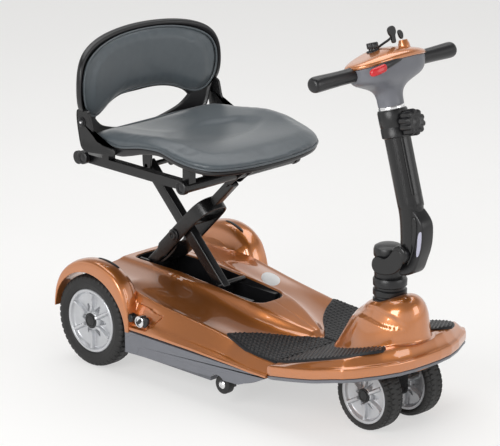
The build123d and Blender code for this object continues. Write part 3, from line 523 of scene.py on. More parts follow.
cap_profile = [(0.2, 3.2), (6, 3.0), (9, 2.4), (9.6, 3.4), (11.6, 3.4), (12.2, 1.6), (14.6, 1.4), (15.6, 0.6), (15.8, -2), (0.2, -2)]
for side_name, side in (("left", 1), ("right", -1)):
    wide = [(reach * 1.12, depth) for reach, depth in cap_profile]
    cap = disc_grid(0, side * (REAR_MID + 20.5), REAR_R, wide, side)
    skin(f"hub_cap_rear_{side_name}", cap, black_plastic, f"rear_wheel_{side_name}", crease=35)
    cap = disc_grid(FRONT_AHEAD, side * (FRONT_MID + 19.5), FRONT_R, cap_profile, side)
    skin(f"hub_cap_front_{side_name}", cap, black_plastic, "front_wheels", crease=35)
    bolt = [(0.2, 5.5), (5.5, 5.3), (6.4, 4.4), (6.6, 1.2), (13.0, 1.0), (13.6, 0.4), (13.6, -1), (0.2, -1)]
    bolt_grid = disc_grid(FRONT_AHEAD, side * (FRONT_MID - 19.5), FRONT_R, bolt, -side, around=36)
    skin(f"wheel_bolt_front_{side_name}", bolt_grid, bright_metal, "front_wheels", crease=35)
print("hub caps made")
# %% [markdown]
# ## Rear body
# The rear body is one glossy copper moulding: a raised spine with a long slot in it, a gently hollow deck on both
# sides, a crease, and a side panel that leans out to the belt. It could be sculpted, but a loft keeps the
# highlights clean: a cross-section whose control points slide along smooth curves from the tail to the seam.

# %% Deck lines
DECK_A = [-60, 60, 100, 160, 240, 300, 352, 400, 440, 478, 497, 541]
deck_line = {
    "flank": [199, 197, 195, 187, 174, 162, 153, 145, 139, 135, 133.5, 132],
    "crown": [6, 8, 10, 14, 22, 28, 31, 27, 21, 13, 0.3, 0],
    "spine": [64, 64, 64, 62, 60, 57, 54, 44, 31, 15, 4, 3],
    "ridge_y": [164, 164, 177, 177, 173, 170, 168, 167, 178, 187, 188, 189],
    "ridge_z": [198, 196, 189, 178, 167, 160, 154, 147, 140, 135.5, 134, 132.5],
    "belt": [112, 112, 111, 112, 112, 112, 111, 110, 109, 107.5, 107, 107],
}
SLOT_HALF, SLOT_REAR, SLOT_FRONT, SLOT_FLOOR = 46.0, -46.0, 352.0, 150.0
SIDE_HALF = 215.0


def deck_value(name, ahead):
    """A line of the deck, read along the scooter."""
    return through(DECK_A, deck_line[name], ahead)


def slot_width(ahead):
    """Half-width of the slot: straight sides and superellipse ends."""
    reach_front = np.clip((ahead - (SLOT_FRONT - 40)) / 40, 0, 1)
    reach_rear = np.clip(((SLOT_REAR + 16) - ahead) / 16, 0, 1)
    return (SLOT_HALF - 0.6) * (1 - np.maximum(reach_front, reach_rear) ** 2.6) ** (1 / 2.6)


# %% Rear body surface


def rear_half_section(ahead, full):
    """Control points (y, z) of half a cross-section at each place ahead, from the middle out and under."""
    flank, crown, spine = deck_value("flank", ahead), deck_value("crown", ahead), deck_value("spine", ahead)
    ridge_y, ridge_z, belt = deck_value("ridge_y", ahead), deck_value("ridge_z", ahead), deck_value("belt", ahead)
    inside = (ahead > SLOT_REAR) & (ahead < SLOT_FRONT)
    slot = np.where(inside, slot_width(np.clip(ahead, SLOT_REAR, SLOT_FRONT)), 0.0)
    top = flank + crown
    floor = np.where(inside, SLOT_FLOOR - 2.0, top)
    lip = np.where(inside, top - 1.2, top)
    middle = (spine + ridge_y) / 2
    side_y = np.where(full, SIDE_HALF, ridge_y + 0.4)
    low_z = np.where(full, belt, 143.0)
    step_out = np.where(full, 2.6 * step_up(ahead, 150, 200), 0.0)
    across = [0 * slot, slot * 0.9, slot + 0.3, slot + 0.6, slot + 0.8, slot + 4.0, np.maximum(spine * 0.86, slot + 7),
              np.maximum(spine, slot + 10), np.maximum(spine, slot + 10) + 9, np.maximum(spine, slot + 10) + 24,
              middle + 12, ridge_y - 14, ridge_y - 3, ridge_y, ridge_y + (side_y - ridge_y) * 0.10,
              ridge_y + (side_y - ridge_y) * 0.5, ridge_y + (side_y - ridge_y) * 0.70, ridge_y + (side_y - ridge_y) * 0.76 + step_out,
              ridge_y + (side_y - ridge_y) * 0.95 + step_out * 0.5, side_y + 0.2, side_y + 0.4, side_y - 1.5,
              side_y - 12, side_y - 14, 0 * slot + 60, 0 * slot]
    rise = ridge_z - low_z
    heights = [floor, floor, np.where(inside, floor + 1, top), np.where(inside, lip - 6, top), lip, top + 0.3, top, top - crown * 0.12, flank + crown * 0.36,
               flank + crown * 0.06, flank - 1.5, ridge_z + 0.2, ridge_z + 0.6, ridge_z + 0.3, ridge_z - rise * 0.06,
               ridge_z - rise * 0.46, low_z + rise * 0.34, low_z + rise * 0.29, low_z + rise * 0.14, low_z + 6, low_z + 1, low_z, low_z + 0.5, low_z + 4,
               low_z + 4, low_z + 4]
    return np.stack(across, axis=-1), np.stack(heights, axis=-1)


def port_pocket(ahead, height):
    """Depth of the pocket round the ports: 1 inside a slanted trapezoid and 0 outside it."""
    along = step_up(ahead, 114, 119) * (1 - step_up(ahead - (height - 140) * 0.9, 186, 191))
    up = step_up(height - (ahead - 150) * 0.04, 119, 122) * (1 - step_up(height + (ahead - 150) * 0.16, 161, 164))
    return along * up


rear_rows = np.concatenate([
    np.linspace(-60, -47, 5), np.linspace(-46, -30, 12), np.linspace(-28, 100, 40), np.linspace(102, 113, 6),
    np.linspace(113.4, 205, 80), np.linspace(207, 310, 46), np.linspace(311, 352, 36), np.linspace(352.2, 480, 60),
    np.linspace(482, 541, 34),
])
half_y, half_z = rear_half_section(rear_rows, rear_rows > 113.2)
weights = spline_weights(half_y.shape[1], 150)
half_y, half_z = half_y @ weights.T, half_z @ weights.T
half_y = half_y - 5.5 * port_pocket(rear_rows[:, None], half_z) * (half_y > 185) * (rear_rows[:, None] > 113.2)
loop_y = np.concatenate([half_y, -half_y[:, -2:0:-1]], axis=1)
loop_z = np.concatenate([half_z, half_z[:, -2:0:-1]], axis=1)
rear_shell = skin("rear_shell", place(rear_rows[:, None], loop_y, loop_z), copper_paint, "chassis", crease=38)
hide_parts("rear_body")
print("rear shell faces", len(rear_shell.data.polygons))

# %% [markdown]
# ## Fenders
# A fender wraps each rear wheel from behind to the belt in front of it. Its sections stand on rays from the axle,
# so the wheel opening is truly round while the crown rises away from it towards the front, and its inner side
# runs out flat on the deck.

# %% Fender surface
AXLE_Z = 104.0
ARCH = 111.0
FENDER_ANGLE = [-84, -74, -58, -42, -28, -14, 0, 14, 28, 40, 50, 62, 76, 89]
FENDER_OUT = [113.5, 115.5, 122, 130, 135, 139, 142, 145, 147, 146, 141, 133, 126, 122]
FENDER_SKIRT = [111.5, 112, 113, 117, 107, 98, 94, 96, 103, 111, 112, 112, 112, 112]
FENDER_SIDE = [222, 223, 225, 226, 226, 226, 226, 226, 225.5, 225, 224, 222.5, 220.5, 219]


def fender_grid(side):
    """Rays from the axle times a rounded loop: under the lip, up the side, over the crown, down to the deck."""
    angle = np.linspace(-84, 89, 150)
    out = through(FENDER_ANGLE, FENDER_OUT, angle)
    skirt = through(FENDER_ANGLE, FENDER_SKIRT, angle)
    edge = through(FENDER_ANGLE, FENDER_SIDE, angle)
    thick = out - ARCH
    soft = np.clip(thick * 0.45, 1.0, 13.0)
    run = 12 * step_up(angle, -36, -22) * (1 - step_up(angle, 30, 44))
    zero = 0 * angle
    loop_y = np.stack([zero + 168, zero + 200, edge - 3, edge - 0.5, edge, edge, edge - soft * 0.15, edge - soft * 0.9,
                       edge - 20, zero + 190, zero + 176, zero + 168, zero + 163 - run * 0.35, zero + 158 - run, zero + 163 - run],
                      axis=1)
    loop_r = np.stack([zero + ARCH, zero + ARCH, zero + ARCH, zero + ARCH + 0.6, zero + ARCH + 2.2, out - soft * 1.1,
                       out - soft * 0.3, out - 0.3, out + 0.4, out - 1.2, out - (out - skirt) * 0.22, out - (out - skirt) * 0.62,
                       skirt + 1.5, skirt, skirt - 3], axis=1)
    weights = spline_weights(loop_y.shape[1], 96, closed=True)
    loop_y, loop_r = loop_y @ weights.T, loop_r @ weights.T
    turn = np.radians(angle)[:, None]
    return place(loop_r * np.sin(turn), side * loop_y, AXLE_Z + loop_r * np.cos(turn))


for side_name, side in (("left", 1), ("right", -1)):
    skin(f"fender_{side_name}", fender_grid(side), copper_paint, "chassis", crease=50)
print("fenders made")
# %% [markdown]
# ## Front body and dome
# The front body is a boat-shaped moulding whose deck slopes up to a dome over the steering head. Everything on it
# circles the steering axis, so one surface is made of rings around that axis: from the hole for the stem, over
# the dome, out over the deck and the rim, and back underneath over the wheel well.

# %% Front outline
STEER = 692.0
OUTLINE = np.array([
    (541.6, 0), (541.6, 120), (541.6, 211), (552, 213.5), (600, 211), (655, 205.5), (705, 199), (738, 191), (757, 172), (786, 117),
    (800, 78), (805.5, 40), (806.5, 0),
])
FRONT_SLOPE, DECK_START = 0.29, 133.0


def front_deck(ahead):
    """Height of the front deck: one slope that eases off near the front."""
    return DECK_START + FRONT_SLOPE * (np.minimum(ahead, 760) - 541.4) + 0.10 * np.clip(ahead - 760, 0, 60)


def front_low(ahead):
    """Height of the lower edge of the copper band."""
    return through([541, 655, 745, 788, 810], [113, 131, 149, 151, 151.5], ahead)


def outline_reach(turn, inset):
    """Distance from the steering axis to the inset outline: the nearest crossing of a ray with its edges."""
    corners = OUTLINE - np.array([STEER, 0])
    corners = np.concatenate([corners, corners[-2:0:-1] * np.array([1, -1])])
    start, end = corners, np.roll(corners, -1, axis=0)
    edge = end - start
    normal = np.stack([edge[:, 1], -edge[:, 0]], axis=1) / np.linalg.norm(edge, axis=1)[:, None]
    outward = np.sign((normal * start).sum(axis=1))[:, None] * normal
    start = start - outward * inset
    ray = np.stack([np.cos(turn), np.sin(turn)], axis=-1)
    along = ray @ outward.T
    distance = (start * outward).sum(axis=1)
    reach = np.where(along > 1e-6, distance / np.where(along > 1e-6, along, 1), 1e9)
    return reach.min(axis=1)


def egg(turn, front, rear, across):
    """Radius of a closed oval with different reach forwards, backwards and sideways."""
    forward = np.where(np.cos(turn) > 0, front, rear)
    return 1 / np.sqrt((np.cos(turn) / forward) ** 2 + (np.sin(turn) / across) ** 2)


def ring_height(turn, front, side, rear, power=1.4):
    """Height around a ring: the side value, raised or lowered towards the front and the rear."""
    forward = np.clip(np.cos(turn), 0, 1) ** power
    backward = np.clip(-np.cos(turn), 0, 1) ** power
    return side + (front - side) * forward + (rear - side) * backward


# %% Front shell surface
corner = math.atan2(212, 541.6 - STEER)
turn = np.concatenate([np.linspace(0, corner, 110, endpoint=False), np.linspace(corner, 2 * np.pi - corner, 70, endpoint=False),
                       np.linspace(2 * np.pi - corner, 2 * np.pi, 110, endpoint=False)])
cosine, sine = np.cos(turn), np.sin(turn)


def deck_ring(reach, lift=0.0):
    """A ring that lies on the front deck."""
    return reach, front_deck(STEER + reach * cosine) + lift


def dome_ring(front, rear, across, heights):
    return egg(turn, front, rear, across), ring_height(turn, *heights)


outer = [outline_reach(turn, inset) for inset in (26.0, 22.0, 9.0, 4.0, 1.0, 0.0, 0.3, 2.5, 14.0)]
low = front_low(STEER + outer[5] * cosine)
deck_edge = front_deck(STEER + outer[0] * cosine)
rim_top = np.minimum(low + 23, front_deck(STEER + outer[2] * cosine) + 1.0)
base_reach = egg(turn, 99, 142, 78)
rings = [
    (0 * turn + 24, 0 * turn + 250), (0 * turn + 32, 0 * turn + 250), (0 * turn + 32.6, ring_height(turn, 283, 270, 262)),
    dome_ring(40, 38, 38, (289, 272, 264)), dome_ring(62, 52, 50, (291, 262, 253)), dome_ring(82, 82, 62, (280, 241, 229)),
    dome_ring(92, 104, 70, (258, 219, 195)), dome_ring(96, 122, 75, (228, 197, 166)), dome_ring(98, 136, 78, (206, 180, 147)),
    deck_ring(base_reach + 1, 1.0), deck_ring(base_reach + 5, 0.0), deck_ring(base_reach + 10, 0.0),
    deck_ring(base_reach * 0.55 + outer[0] * 0.45), deck_ring(base_reach * 0.2 + outer[0] * 0.8),
    (outer[0], deck_edge), (outer[1], deck_edge - 0.8), (outer[2], rim_top + 1.5), (outer[3], rim_top),
    (outer[4], rim_top - 2), (outer[5], rim_top - 7), (outer[6], low + 3), (outer[7], low), (outer[8], low + 1),
    (np.minimum(outer[8] - 3, 128), np.maximum(low + 1, 0 * turn + 127)), (0 * turn + 100, 0 * turn + 131),
    (0 * turn + 97, np.minimum(156.5, front_deck(STEER + 97 * cosine) - 3)), (0 * turn + 40, 0 * turn + 156.5),
    (0 * turn + 24, 0 * turn + 157),
]
ring_reach = np.stack([reach for reach, height in rings])
ring_z = np.stack([height for reach, height in rings])
weights = spline_weights(len(rings), 190)
ring_reach, ring_z = weights @ ring_reach, weights @ ring_z

# %% [markdown]
# The dome's flanks carry a shallow swept scoop on each side. It is pressed into the same surface: the radius
# shrinks where the height lies between two curves that follow the crest.

# %% Dome scoops
swing = np.abs((turn + np.pi) % (2 * np.pi) - np.pi)
ring_ahead = STEER + ring_reach * cosine
upper_curve = through([560, 600, 640, 690, 740, 775, 790], [150, 218, 250, 262, 258, 240, 215], ring_ahead)
lower_curve = upper_curve - through([560, 600, 640, 690, 740, 775, 790], [2, 8, 15, 24, 26, 12, 2], ring_ahead)
inside_scoop = step_up(ring_z, lower_curve - 1.0, lower_curve + 1.5) * (1 - step_up(ring_z, upper_curve - 6, upper_curve + 4))
on_dome = (np.arange(190)[:, None] < 80) * step_up(swing, 0.35, 0.75) * (1 - step_up(swing, 2.55, 2.95))
ring_reach = ring_reach - 4.5 * inside_scoop * on_dome
front_shell = skin("front_shell", place(STEER + ring_reach * cosine, ring_reach * sine, ring_z), copper_paint, "chassis",
                   wrap_columns=True, wrap_rows=True, crease=42)
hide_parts("front_body", "dome")
print("front shell faces", len(front_shell.data.polygons))

# %% Bumper band
band = outline_reach(turn, 1.5)
band_low = front_low(STEER + band * cosine)
band_rings = [(band - 16, band_low + 0.5), (band - 3, band_low - 0.3), (band - 0.3, band_low - 0.8), (band + 0.4, band_low - 3.5),
              (band - 1.5, band_low - 7.5), (band - 6, band_low - 9.0), (band - 14, band_low - 8.5)]
band_weights = spline_weights(len(band_rings), 30, closed=True)
band_reach = band_weights @ np.stack([reach for reach, height in band_rings])
band_z = band_weights @ np.stack([height for reach, height in band_rings])
skin("bumper_band", place(STEER + band_reach * cosine, band_reach * sine, band_z), grey_plastic, "chassis",
     wrap_rows=True, wrap_columns=True, crease=50)

# %% [markdown]
# ## Footboard mats
# The footboard carries a rubber mat with a raised weave of short slanted dashes. A bump in the material would be
# lost on the edges, so the weave is in the surface: two slanted waves multiplied together lift small ribs.

# %% Mats


def weave(ahead, across):
    """Height of the dashes: slanted ribs, broken into short lengths that shift from rib to rib."""
    rib = (ahead * 0.80 + across * 0.60) / 8.6
    run = (across * 0.80 - ahead * 0.60) / 15.0 + 0.5 * np.floor(rib)
    across_rib = 0.5 + 0.5 * np.cos(2 * np.pi * (rib - 0.5))
    along_rib = step_up(0.5 + 0.5 * np.cos(2 * np.pi * run), 0.12, 0.42)
    return across_rib * along_rib


def mat(name, ahead, inner, outer_line, base, side, thick=4.6, round_inner=True, columns=120):
    """A strip between two plan curves: domed edges, woven top, flat underside, one closed loop per row."""
    share = np.linspace(0, 1, columns)[None, :]
    width = outer_line - inner
    across = inner[:, None] + width[:, None] * share
    from_outer = (1 - share) * width[:, None]
    from_inner = share * width[:, None] if round_inner else 99 + 0 * share
    from_start = (ahead - ahead[0])[:, None] + (0 if round_inner else 99)
    from_end = (ahead[-1] - ahead)[:, None] + 0 * share
    edge = np.minimum(from_outer, from_inner)
    if name.startswith("front"):
        edge = np.minimum(edge, from_end)
    else:
        edge = np.minimum(edge, (ahead - ahead[0])[:, None] + 0 * share)
    lift = thick * np.sqrt(np.clip(1 - (1 - np.clip(edge / 4.0, 0, 1)) ** 2, 0, 1))
    pattern = weave(ahead[:, None] + 0 * share, side * across) * step_up(edge, 3.0, 5.5) * 2.3
    top = base(ahead[:, None] + 0 * share, across) + lift + pattern
    under = base(ahead[:, None] + 0 * share, across) - 1.2
    loop_y = np.concatenate([across, across[:, ::-24]], axis=1)
    loop_z = np.concatenate([top, under[:, ::-24]], axis=1)
    return skin(name, place(ahead[:, None], side * loop_y, loop_z), mat_rubber, "chassis", crease=60)


front_ahead = np.concatenate([np.linspace(542.2, 762, 200), 762 + 12 * np.sin(np.linspace(0.05, np.pi / 2, 14))])
mat_inner = through([541, 552, 562, 575, 595, 625, 660, 700, 730, 755, 764, 774], [0.3, 0.3, 22, 41, 58, 72, 80, 82, 80, 79, 86, 104],
                    front_ahead)
mat_outer = through([541, 600, 655, 700, 730, 755, 766, 774], [183, 182, 176, 166, 153, 136, 124, 107], front_ahead)
rear_ahead = np.concatenate([373 + 10 * (1 - np.cos(np.linspace(0.1, np.pi / 2, 12))), np.linspace(384, 541.0, 160)])
rear_inner = through([373, 380, 400, 425, 460, 488, 499, 503, 541], [161, 150, 112, 78, 44, 18, 5, 0.3, 0.3], rear_ahead)
rear_outer = through([373, 380, 400, 430, 457, 541], [163, 168, 172, 179, 184, 184], rear_ahead)


def rear_deck_height(ahead, across):
    """Deck height between the spine and the ridge, from the deck lines."""
    flank, crown = deck_value("flank", ahead), deck_value("crown", ahead)
    spine, ridge_y, ridge_z = deck_value("spine", ahead), deck_value("ridge_y", ahead), deck_value("ridge_z", ahead)
    toward = np.clip((across - spine - 24) / np.maximum(ridge_y - spine - 24, 1), 0, 1)
    near_spine = 1 - step_up(across, spine - 4, spine + 22)
    return flank + (ridge_z - flank) * toward - 0.8 * (1 - toward) + crown * near_spine


for side_name, side in (("left", 1), ("right", -1)):
    piece = mat(f"front_mat_{side_name}", front_ahead, mat_inner, mat_outer, lambda a, y: front_deck(a), side)
    if side == 1:
        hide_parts("front_mats")
    piece = mat(f"rear_mat_{side_name}", rear_ahead, rear_inner, rear_outer, rear_deck_height, side)
    if side == 1:
        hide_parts("rear_mats")
print("mats made, faces each", len(piece.data.polygons))
# %% [markdown]
# ## Plates, tubes and pads
# Most of the black parts are bent plates and tubes. A plate is an outline with rounded edges, a tube is an oval
# carried along a path, and a pad is a closed ring surface that Blender's cloth then inflates a little, because
# stuffed vinyl is never as even as a formula.

# %% Plates and tubes


def closed_outline(points, samples=160, degree=2):
    """A smooth closed outline through a control polygon in the plane."""
    return rounded(points, samples, degree, closed=True)


def inset(outline, amount):
    """Move a closed outline inwards along its own normals, which are its turned tangents."""
    tangent = np.roll(outline, -1, axis=0) - np.roll(outline, 1, axis=0)
    tangent /= np.maximum(np.linalg.norm(tangent, axis=1, keepdims=True), 1e-9)
    area = np.sum(outline[:, 0] * np.roll(outline[:, 1], -1) - np.roll(outline[:, 0], -1) * outline[:, 1])
    normal = np.stack([-tangent[:, 1], tangent[:, 0]], axis=1) * np.sign(area)
    return outline + normal * amount


def plate(name, outline, put, low, high, radius, material, body, crease=50):
    """Stack outlines from one face to the other with quarter-round edges; both faces are single polygons."""
    turns = np.linspace(0, np.pi / 2, 5)
    levels = [(low + radius * (1 - np.sin(t)), radius * (1 - np.cos(t))) for t in turns[::-1]]
    levels += [(high - radius * (1 - np.sin(t)), radius * (1 - np.cos(t))) for t in turns]
    grid = np.stack([put(inset(outline, pulled), level) for level, pulled in levels])
    rows, columns = grid.shape[:2]
    points = grid.reshape(-1, 3)
    faces = grid_faces(rows, columns, wrap_columns=True)
    if signed_volume(points, faces, np.zeros((0, 3), int)) < 0:
        faces = faces[:, ::-1]
        ends = [list(range(columns)), list(range((rows - 1) * columns, rows * columns))[::-1]]
    else:
        ends = [list(range(columns))[::-1], list(range((rows - 1) * columns, rows * columns))]
    mesh = bpy.data.meshes.new(name)
    mesh.from_pydata(points.tolist(), [], faces.tolist() + ends)
    mesh.polygons.foreach_set("use_smooth", np.ones(len(mesh.polygons), bool))
    piece = bpy.data.objects.new(name, mesh)
    bpy.context.collection.objects.link(piece)
    dress(piece, material, body, crease)
    return piece


def upright(outline, level):
    """Outline of (ahead, z), stacked across the scooter."""
    return place(outline[:, 0], level, outline[:, 1])


def path_frames(path):
    """Tangents of a path, and two directions square to it that keep Y as their reference."""
    tangent = np.gradient(path, axis=0)
    tangent /= np.linalg.norm(tangent, axis=1, keepdims=True)
    reference = np.tile([0.0, 1.0, 0.0], (len(path), 1))
    flat = np.abs(tangent[:, 1]) > 0.9
    reference[flat] = [1.0, 0.0, 0.0]
    side = reference - (reference * tangent).sum(axis=1, keepdims=True) * tangent
    side /= np.linalg.norm(side, axis=1, keepdims=True)
    return tangent, side, np.cross(tangent, side)


def tube(name, path, radius, material, body, around=40, flat=1.0, power=2.0, round_ends=0.0, crease=50):
    """An oval carried along a path: radius may change along it, flat squeezes it, power squares it."""
    path = np.asarray(path, float)
    radius = np.broadcast_to(np.asarray(radius, float), (len(path),)).copy()
    if round_ends:
        tangent = np.gradient(path, axis=0)
        tangent /= np.linalg.norm(tangent, axis=1, keepdims=True)
        bend = np.linspace(0.08, np.pi / 2, 7)
        start = path[0] + tangent[0] * round_ends * (1 - np.sin(bend))[:, None]
        end = path[-1] - tangent[-1] * round_ends * (1 - np.sin(bend[::-1]))[:, None]
        length = np.cumsum(np.r_[0, np.linalg.norm(np.diff(path, axis=0), axis=1)])
        inner = (length > round_ends) & (length < length[-1] - round_ends)
        start_radius = radius[0] - round_ends * (1 - np.cos(np.pi / 2 - bend))
        end_radius = radius[-1] - round_ends * (1 - np.cos(np.pi / 2 - bend[::-1]))
        path = np.concatenate([start[::1], path[inner], end])
        path = path[np.argsort(np.r_[round_ends * (1 - np.sin(bend)), length[inner],
                                     length[-1] - round_ends * (1 - np.sin(bend[::-1]))])]
        order = np.argsort(np.r_[round_ends * (1 - np.sin(bend)), length[inner],
                                 length[-1] - round_ends * (1 - np.sin(bend[::-1]))])
        radius = np.r_[start_radius, radius[inner], end_radius][order]
    _, side, up = path_frames(path)
    turn_round = np.linspace(0, 2 * np.pi, around, endpoint=False)
    c = np.sign(np.cos(turn_round)) * np.abs(np.cos(turn_round)) ** (2 / power)
    s = np.sign(np.sin(turn_round)) * np.abs(np.sin(turn_round)) ** (2 / power)
    ring = (side[:, None, :] * c[None, :, None] + up[:, None, :] * (s * flat)[None, :, None]) * radius[:, None, None]
    grid = path[:, None, :] + ring
    return skin(name, place(grid[..., 0], grid[..., 1], grid[..., 2]), material, body, crease=crease)


def straight(start, end, count=24):
    """Points along a straight line."""
    share = np.linspace(0, 1, count)[:, None]
    return np.asarray(start, float) * (1 - share) + np.asarray(end, float) * share


# %% Inflating a pad


def puff(piece, voxel, cap, keep_still):
    """Remesh a pad evenly, inflate it with cloth pressure, and limit how far each point may go."""
    remesh = piece.modifiers.new("even", "REMESH")
    remesh.mode = "VOXEL"
    remesh.voxel_size = voxel
    graph = bpy.context.evaluated_depsgraph_get()
    even = bpy.data.meshes.new_from_object(piece.evaluated_get(graph))
    piece.modifiers.clear()
    piece.data = even
    rest = np.empty(len(even.vertices) * 3, np.float32)
    even.vertices.foreach_get("co", rest)
    rest = rest.reshape(-1, 3)
    cloth = piece.modifiers.new("stuffing", "CLOTH")
    cloth.settings.use_pressure = True
    cloth.settings.uniform_pressure_force = 4.0
    cloth.settings.effector_weights.gravity = 0.0
    cloth.settings.quality = 6
    cloth.point_cache.frame_start = 1
    cloth.point_cache.frame_end = 20
    for frame_number in range(1, 21):
        bpy.context.scene.frame_set(frame_number)
    graph = bpy.context.evaluated_depsgraph_get()
    blown = piece.evaluated_get(graph).to_mesh()
    swollen = np.empty(len(blown.vertices) * 3, np.float32)
    blown.vertices.foreach_get("co", swollen)
    piece.evaluated_get(graph).to_mesh_clear()
    move = swollen.reshape(-1, 3) - rest
    length = np.linalg.norm(move, axis=1, keepdims=True)
    move *= np.minimum(1, cap / np.maximum(length, 1e-9)) * keep_still(rest)[:, None]
    piece.modifiers.clear()
    bpy.context.scene.frame_set(1)
    even.vertices.foreach_set("co", (rest + move).ravel())
    even.update()
    smooth = piece.modifiers.new("even_out", "SMOOTH")
    smooth.factor = 0.5
    smooth.iterations = 6
    finer = piece.modifiers.new("finer", "SUBSURF")
    finer.levels = 1
    finer.render_levels = 1
    print(piece.name, "moved at most", round(float(np.linalg.norm(move, axis=1).max()) * 1000, 1), "mm")
    return piece


def pad_body(piece):
    """A padded piece: a smooth closed mesh with no edge sharper than its stuffing allows."""
    piece.data.polygons.foreach_set("use_smooth", np.ones(len(piece.data.polygons), bool))


# %% [markdown]
# ## Seat cushion
# The cushion is a saddle of grey vinyl: its sides climb towards the middle and fall to the front corners, the
# middle is hollow, and the front edge is a soft roll. The rings of one closed surface follow its plan outline, and
# their heights come from two curves along the seat, one for the side and one for the middle.

# %% Cushion shape
SEAT_MIDDLE = 165.0
cushion_plan = closed_outline([
    (-44, 0), (-44, 90), (-42, 140), (-30, 166), (-6, 184), (30, 190), (80, 191), (150, 191), (215, 191), (272, 188), (318, 172),
    (345, 138), (360, 90), (366, 40), (367, 0), (366, -40), (360, -90), (345, -138), (318, -172), (272, -188),
    (215, -191), (150, -191), (80, -191), (30, -190), (-6, -184), (-30, -166), (-42, -140), (-44, -90),
], 260)


def seat_low(ahead):
    """Height of the cushion's lower seam along the side."""
    return through([-44, 14, 67, 100, 140, 190, 248, 289, 330, 367], [509, 510, 508, 513, 521, 525, 514, 507, 502, 500], ahead)


def seat_side_top(ahead):
    return through([-44, 0, 60, 107, 164, 205, 250, 290, 335, 367], [524, 528, 532, 538, 544, 542, 534, 528, 521, 513], ahead)


def seat_middle_top(ahead):
    return through([-44, 0, 60, 120, 200, 260, 300, 340, 367], [515, 512, 511, 513, 521, 527, 527, 521, 512], ahead)


def cushion_top(ahead, across):
    """Blend of the middle and side curves by the square of the distance from the middle line."""
    outward = np.clip(np.abs(across) / 172, 0, 1) ** 1.7
    return seat_middle_top(ahead) * (1 - outward) + seat_side_top(ahead) * outward


def seat_under(ahead, across):
    """Underside of the cushion: the seam's height, or 15 mm below the top where the top is hollow."""
    return np.minimum(seat_low(ahead), cushion_top(ahead, across) - 15.0)


def cushion_grid(plan):
    """Rings from the middle of the top, over the rolled edge, to the middle of the underside."""
    steps = [(0.03, 1, 0), (0.3, 1, 0), (0.55, 1, 0), (0.74, 1, 0), (0.86, 1, -0.02), (0.93, 1, -0.10), (0.975, 1, -0.30),
             (1.0, 0.55, 0), (1.006, 0.28, 0), (1.0, 0.08, 0), (0.985, 0.0, 0), (0.93, -0.02, 0), (0.6, -0.02, 0), (0.03, -0.02, 0)]
    middle = np.array([SEAT_MIDDLE, 0.0])
    rings_plan, rings_z = [], []
    for scale, share, drop in steps:
        ring = middle + (plan - middle) * scale
        inner = middle + (plan - middle) * min(scale, 0.9)
        top = cushion_top(inner[:, 0], inner[:, 1])
        low = seat_low(ring[:, 0]) if share >= 0 else seat_under(ring[:, 0], ring[:, 1])
        rings_plan.append(ring)
        rings_z.append(low + (top - low) * (share + drop))
    weights = spline_weights(len(steps), 70)
    ring_plan = np.tensordot(weights, np.stack(rings_plan), axes=(1, 0))
    ring_z = weights @ np.stack(rings_z)
    return place(ring_plan[..., 0], ring_plan[..., 1], ring_z)


seat_cushion = skin("cushion_pad", cushion_grid(cushion_plan), leatherette, "seat")
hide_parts("seat_cushion")


def cushion_still(points):
    """1 on the top away from the seam, 0 at the seam and on the underside."""
    ahead, across, height = points[:, 0] / MM - REAR_AXLE, points[:, 1] / MM, points[:, 2] / MM
    edge = np.min(np.hypot(ahead[:, None] - cushion_plan[None, ::4, 0], across[:, None] - cushion_plan[None, ::4, 1]), axis=1)
    return step_up(edge, 4, 40) * step_up(height - seat_low(ahead), 3, 9)


puff(seat_cushion, 0.005, 0.006, cushion_still)
pad_body(seat_cushion)

# %% Cushion welt and seat pan
welt_path = np.stack([cushion_plan[:, 0], cushion_plan[:, 1], seat_low(cushion_plan[:, 0]) + 2.5], axis=1)


def closed_tube(name, path, radius, material, body, around=12):
    """A round cord along a closed path."""
    tangent = np.roll(path, -1, axis=0) - np.roll(path, 1, axis=0)
    tangent /= np.linalg.norm(tangent, axis=1, keepdims=True)
    upward = np.tile([0.0, 0.0, 1.0], (len(path), 1))
    upward[np.abs(tangent[:, 2]) > 0.9] = [1.0, 0.0, 0.0]
    side = np.cross(tangent, upward)
    side /= np.linalg.norm(side, axis=1, keepdims=True)
    up = np.cross(side, tangent)
    turn_round = np.linspace(0, 2 * np.pi, around, endpoint=False)
    grid = path[:, None, :] + radius * (side[:, None, :] * np.cos(turn_round)[None, :, None]
                                        + up[:, None, :] * np.sin(turn_round)[None, :, None])
    return skin(name, place(grid[..., 0], grid[..., 1], grid[..., 2]), material, body, wrap_rows=True, wrap_columns=True)


closed_tube("cushion_welt", welt_path, 2.4, leatherette, "seat")


def pan_grid(plan):
    """The black pan follows the cushion's seam with a thin turned-down rim."""
    middle = np.array([SEAT_MIDDLE, 0.0])
    steps = [(0.03, -1.0), (0.5, -1.0), (0.9, -1.0), (0.985, -0.8), (0.997, -1.6), (0.997, -6.0), (0.985, -11.0), (0.955, -12.0),
             (0.94, -8.0), (0.90, -6.0), (0.5, -6.0), (0.03, -6.0)]
    rings_plan = np.stack([middle + (plan - middle) * scale for scale, drop in steps])
    skirt = 1 + 0.9 * (1 - step_up(plan[:, 0], 10, 210))
    heights = [seat_under(*(middle + (plan - middle) * min(scale, 0.93)).T) for scale, drop in steps]
    rings_z = np.stack([height + drop * (skirt if drop < -6 else 1) for height, (scale, drop) in zip(heights, steps)])
    rings_z[3:8] += seat_low(rings_plan[3:8, :, 0]) - np.stack(heights[3:8])
    weights = spline_weights(len(steps), 60)
    ring_plan = np.tensordot(weights, rings_plan, axes=(1, 0))
    return place(ring_plan[..., 0], ring_plan[..., 1], weights @ rings_z)


seat_pan_piece = skin("pan_shell", pan_grid(cushion_plan), black_plastic, "seat", crease=45)
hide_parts("seat_pan")

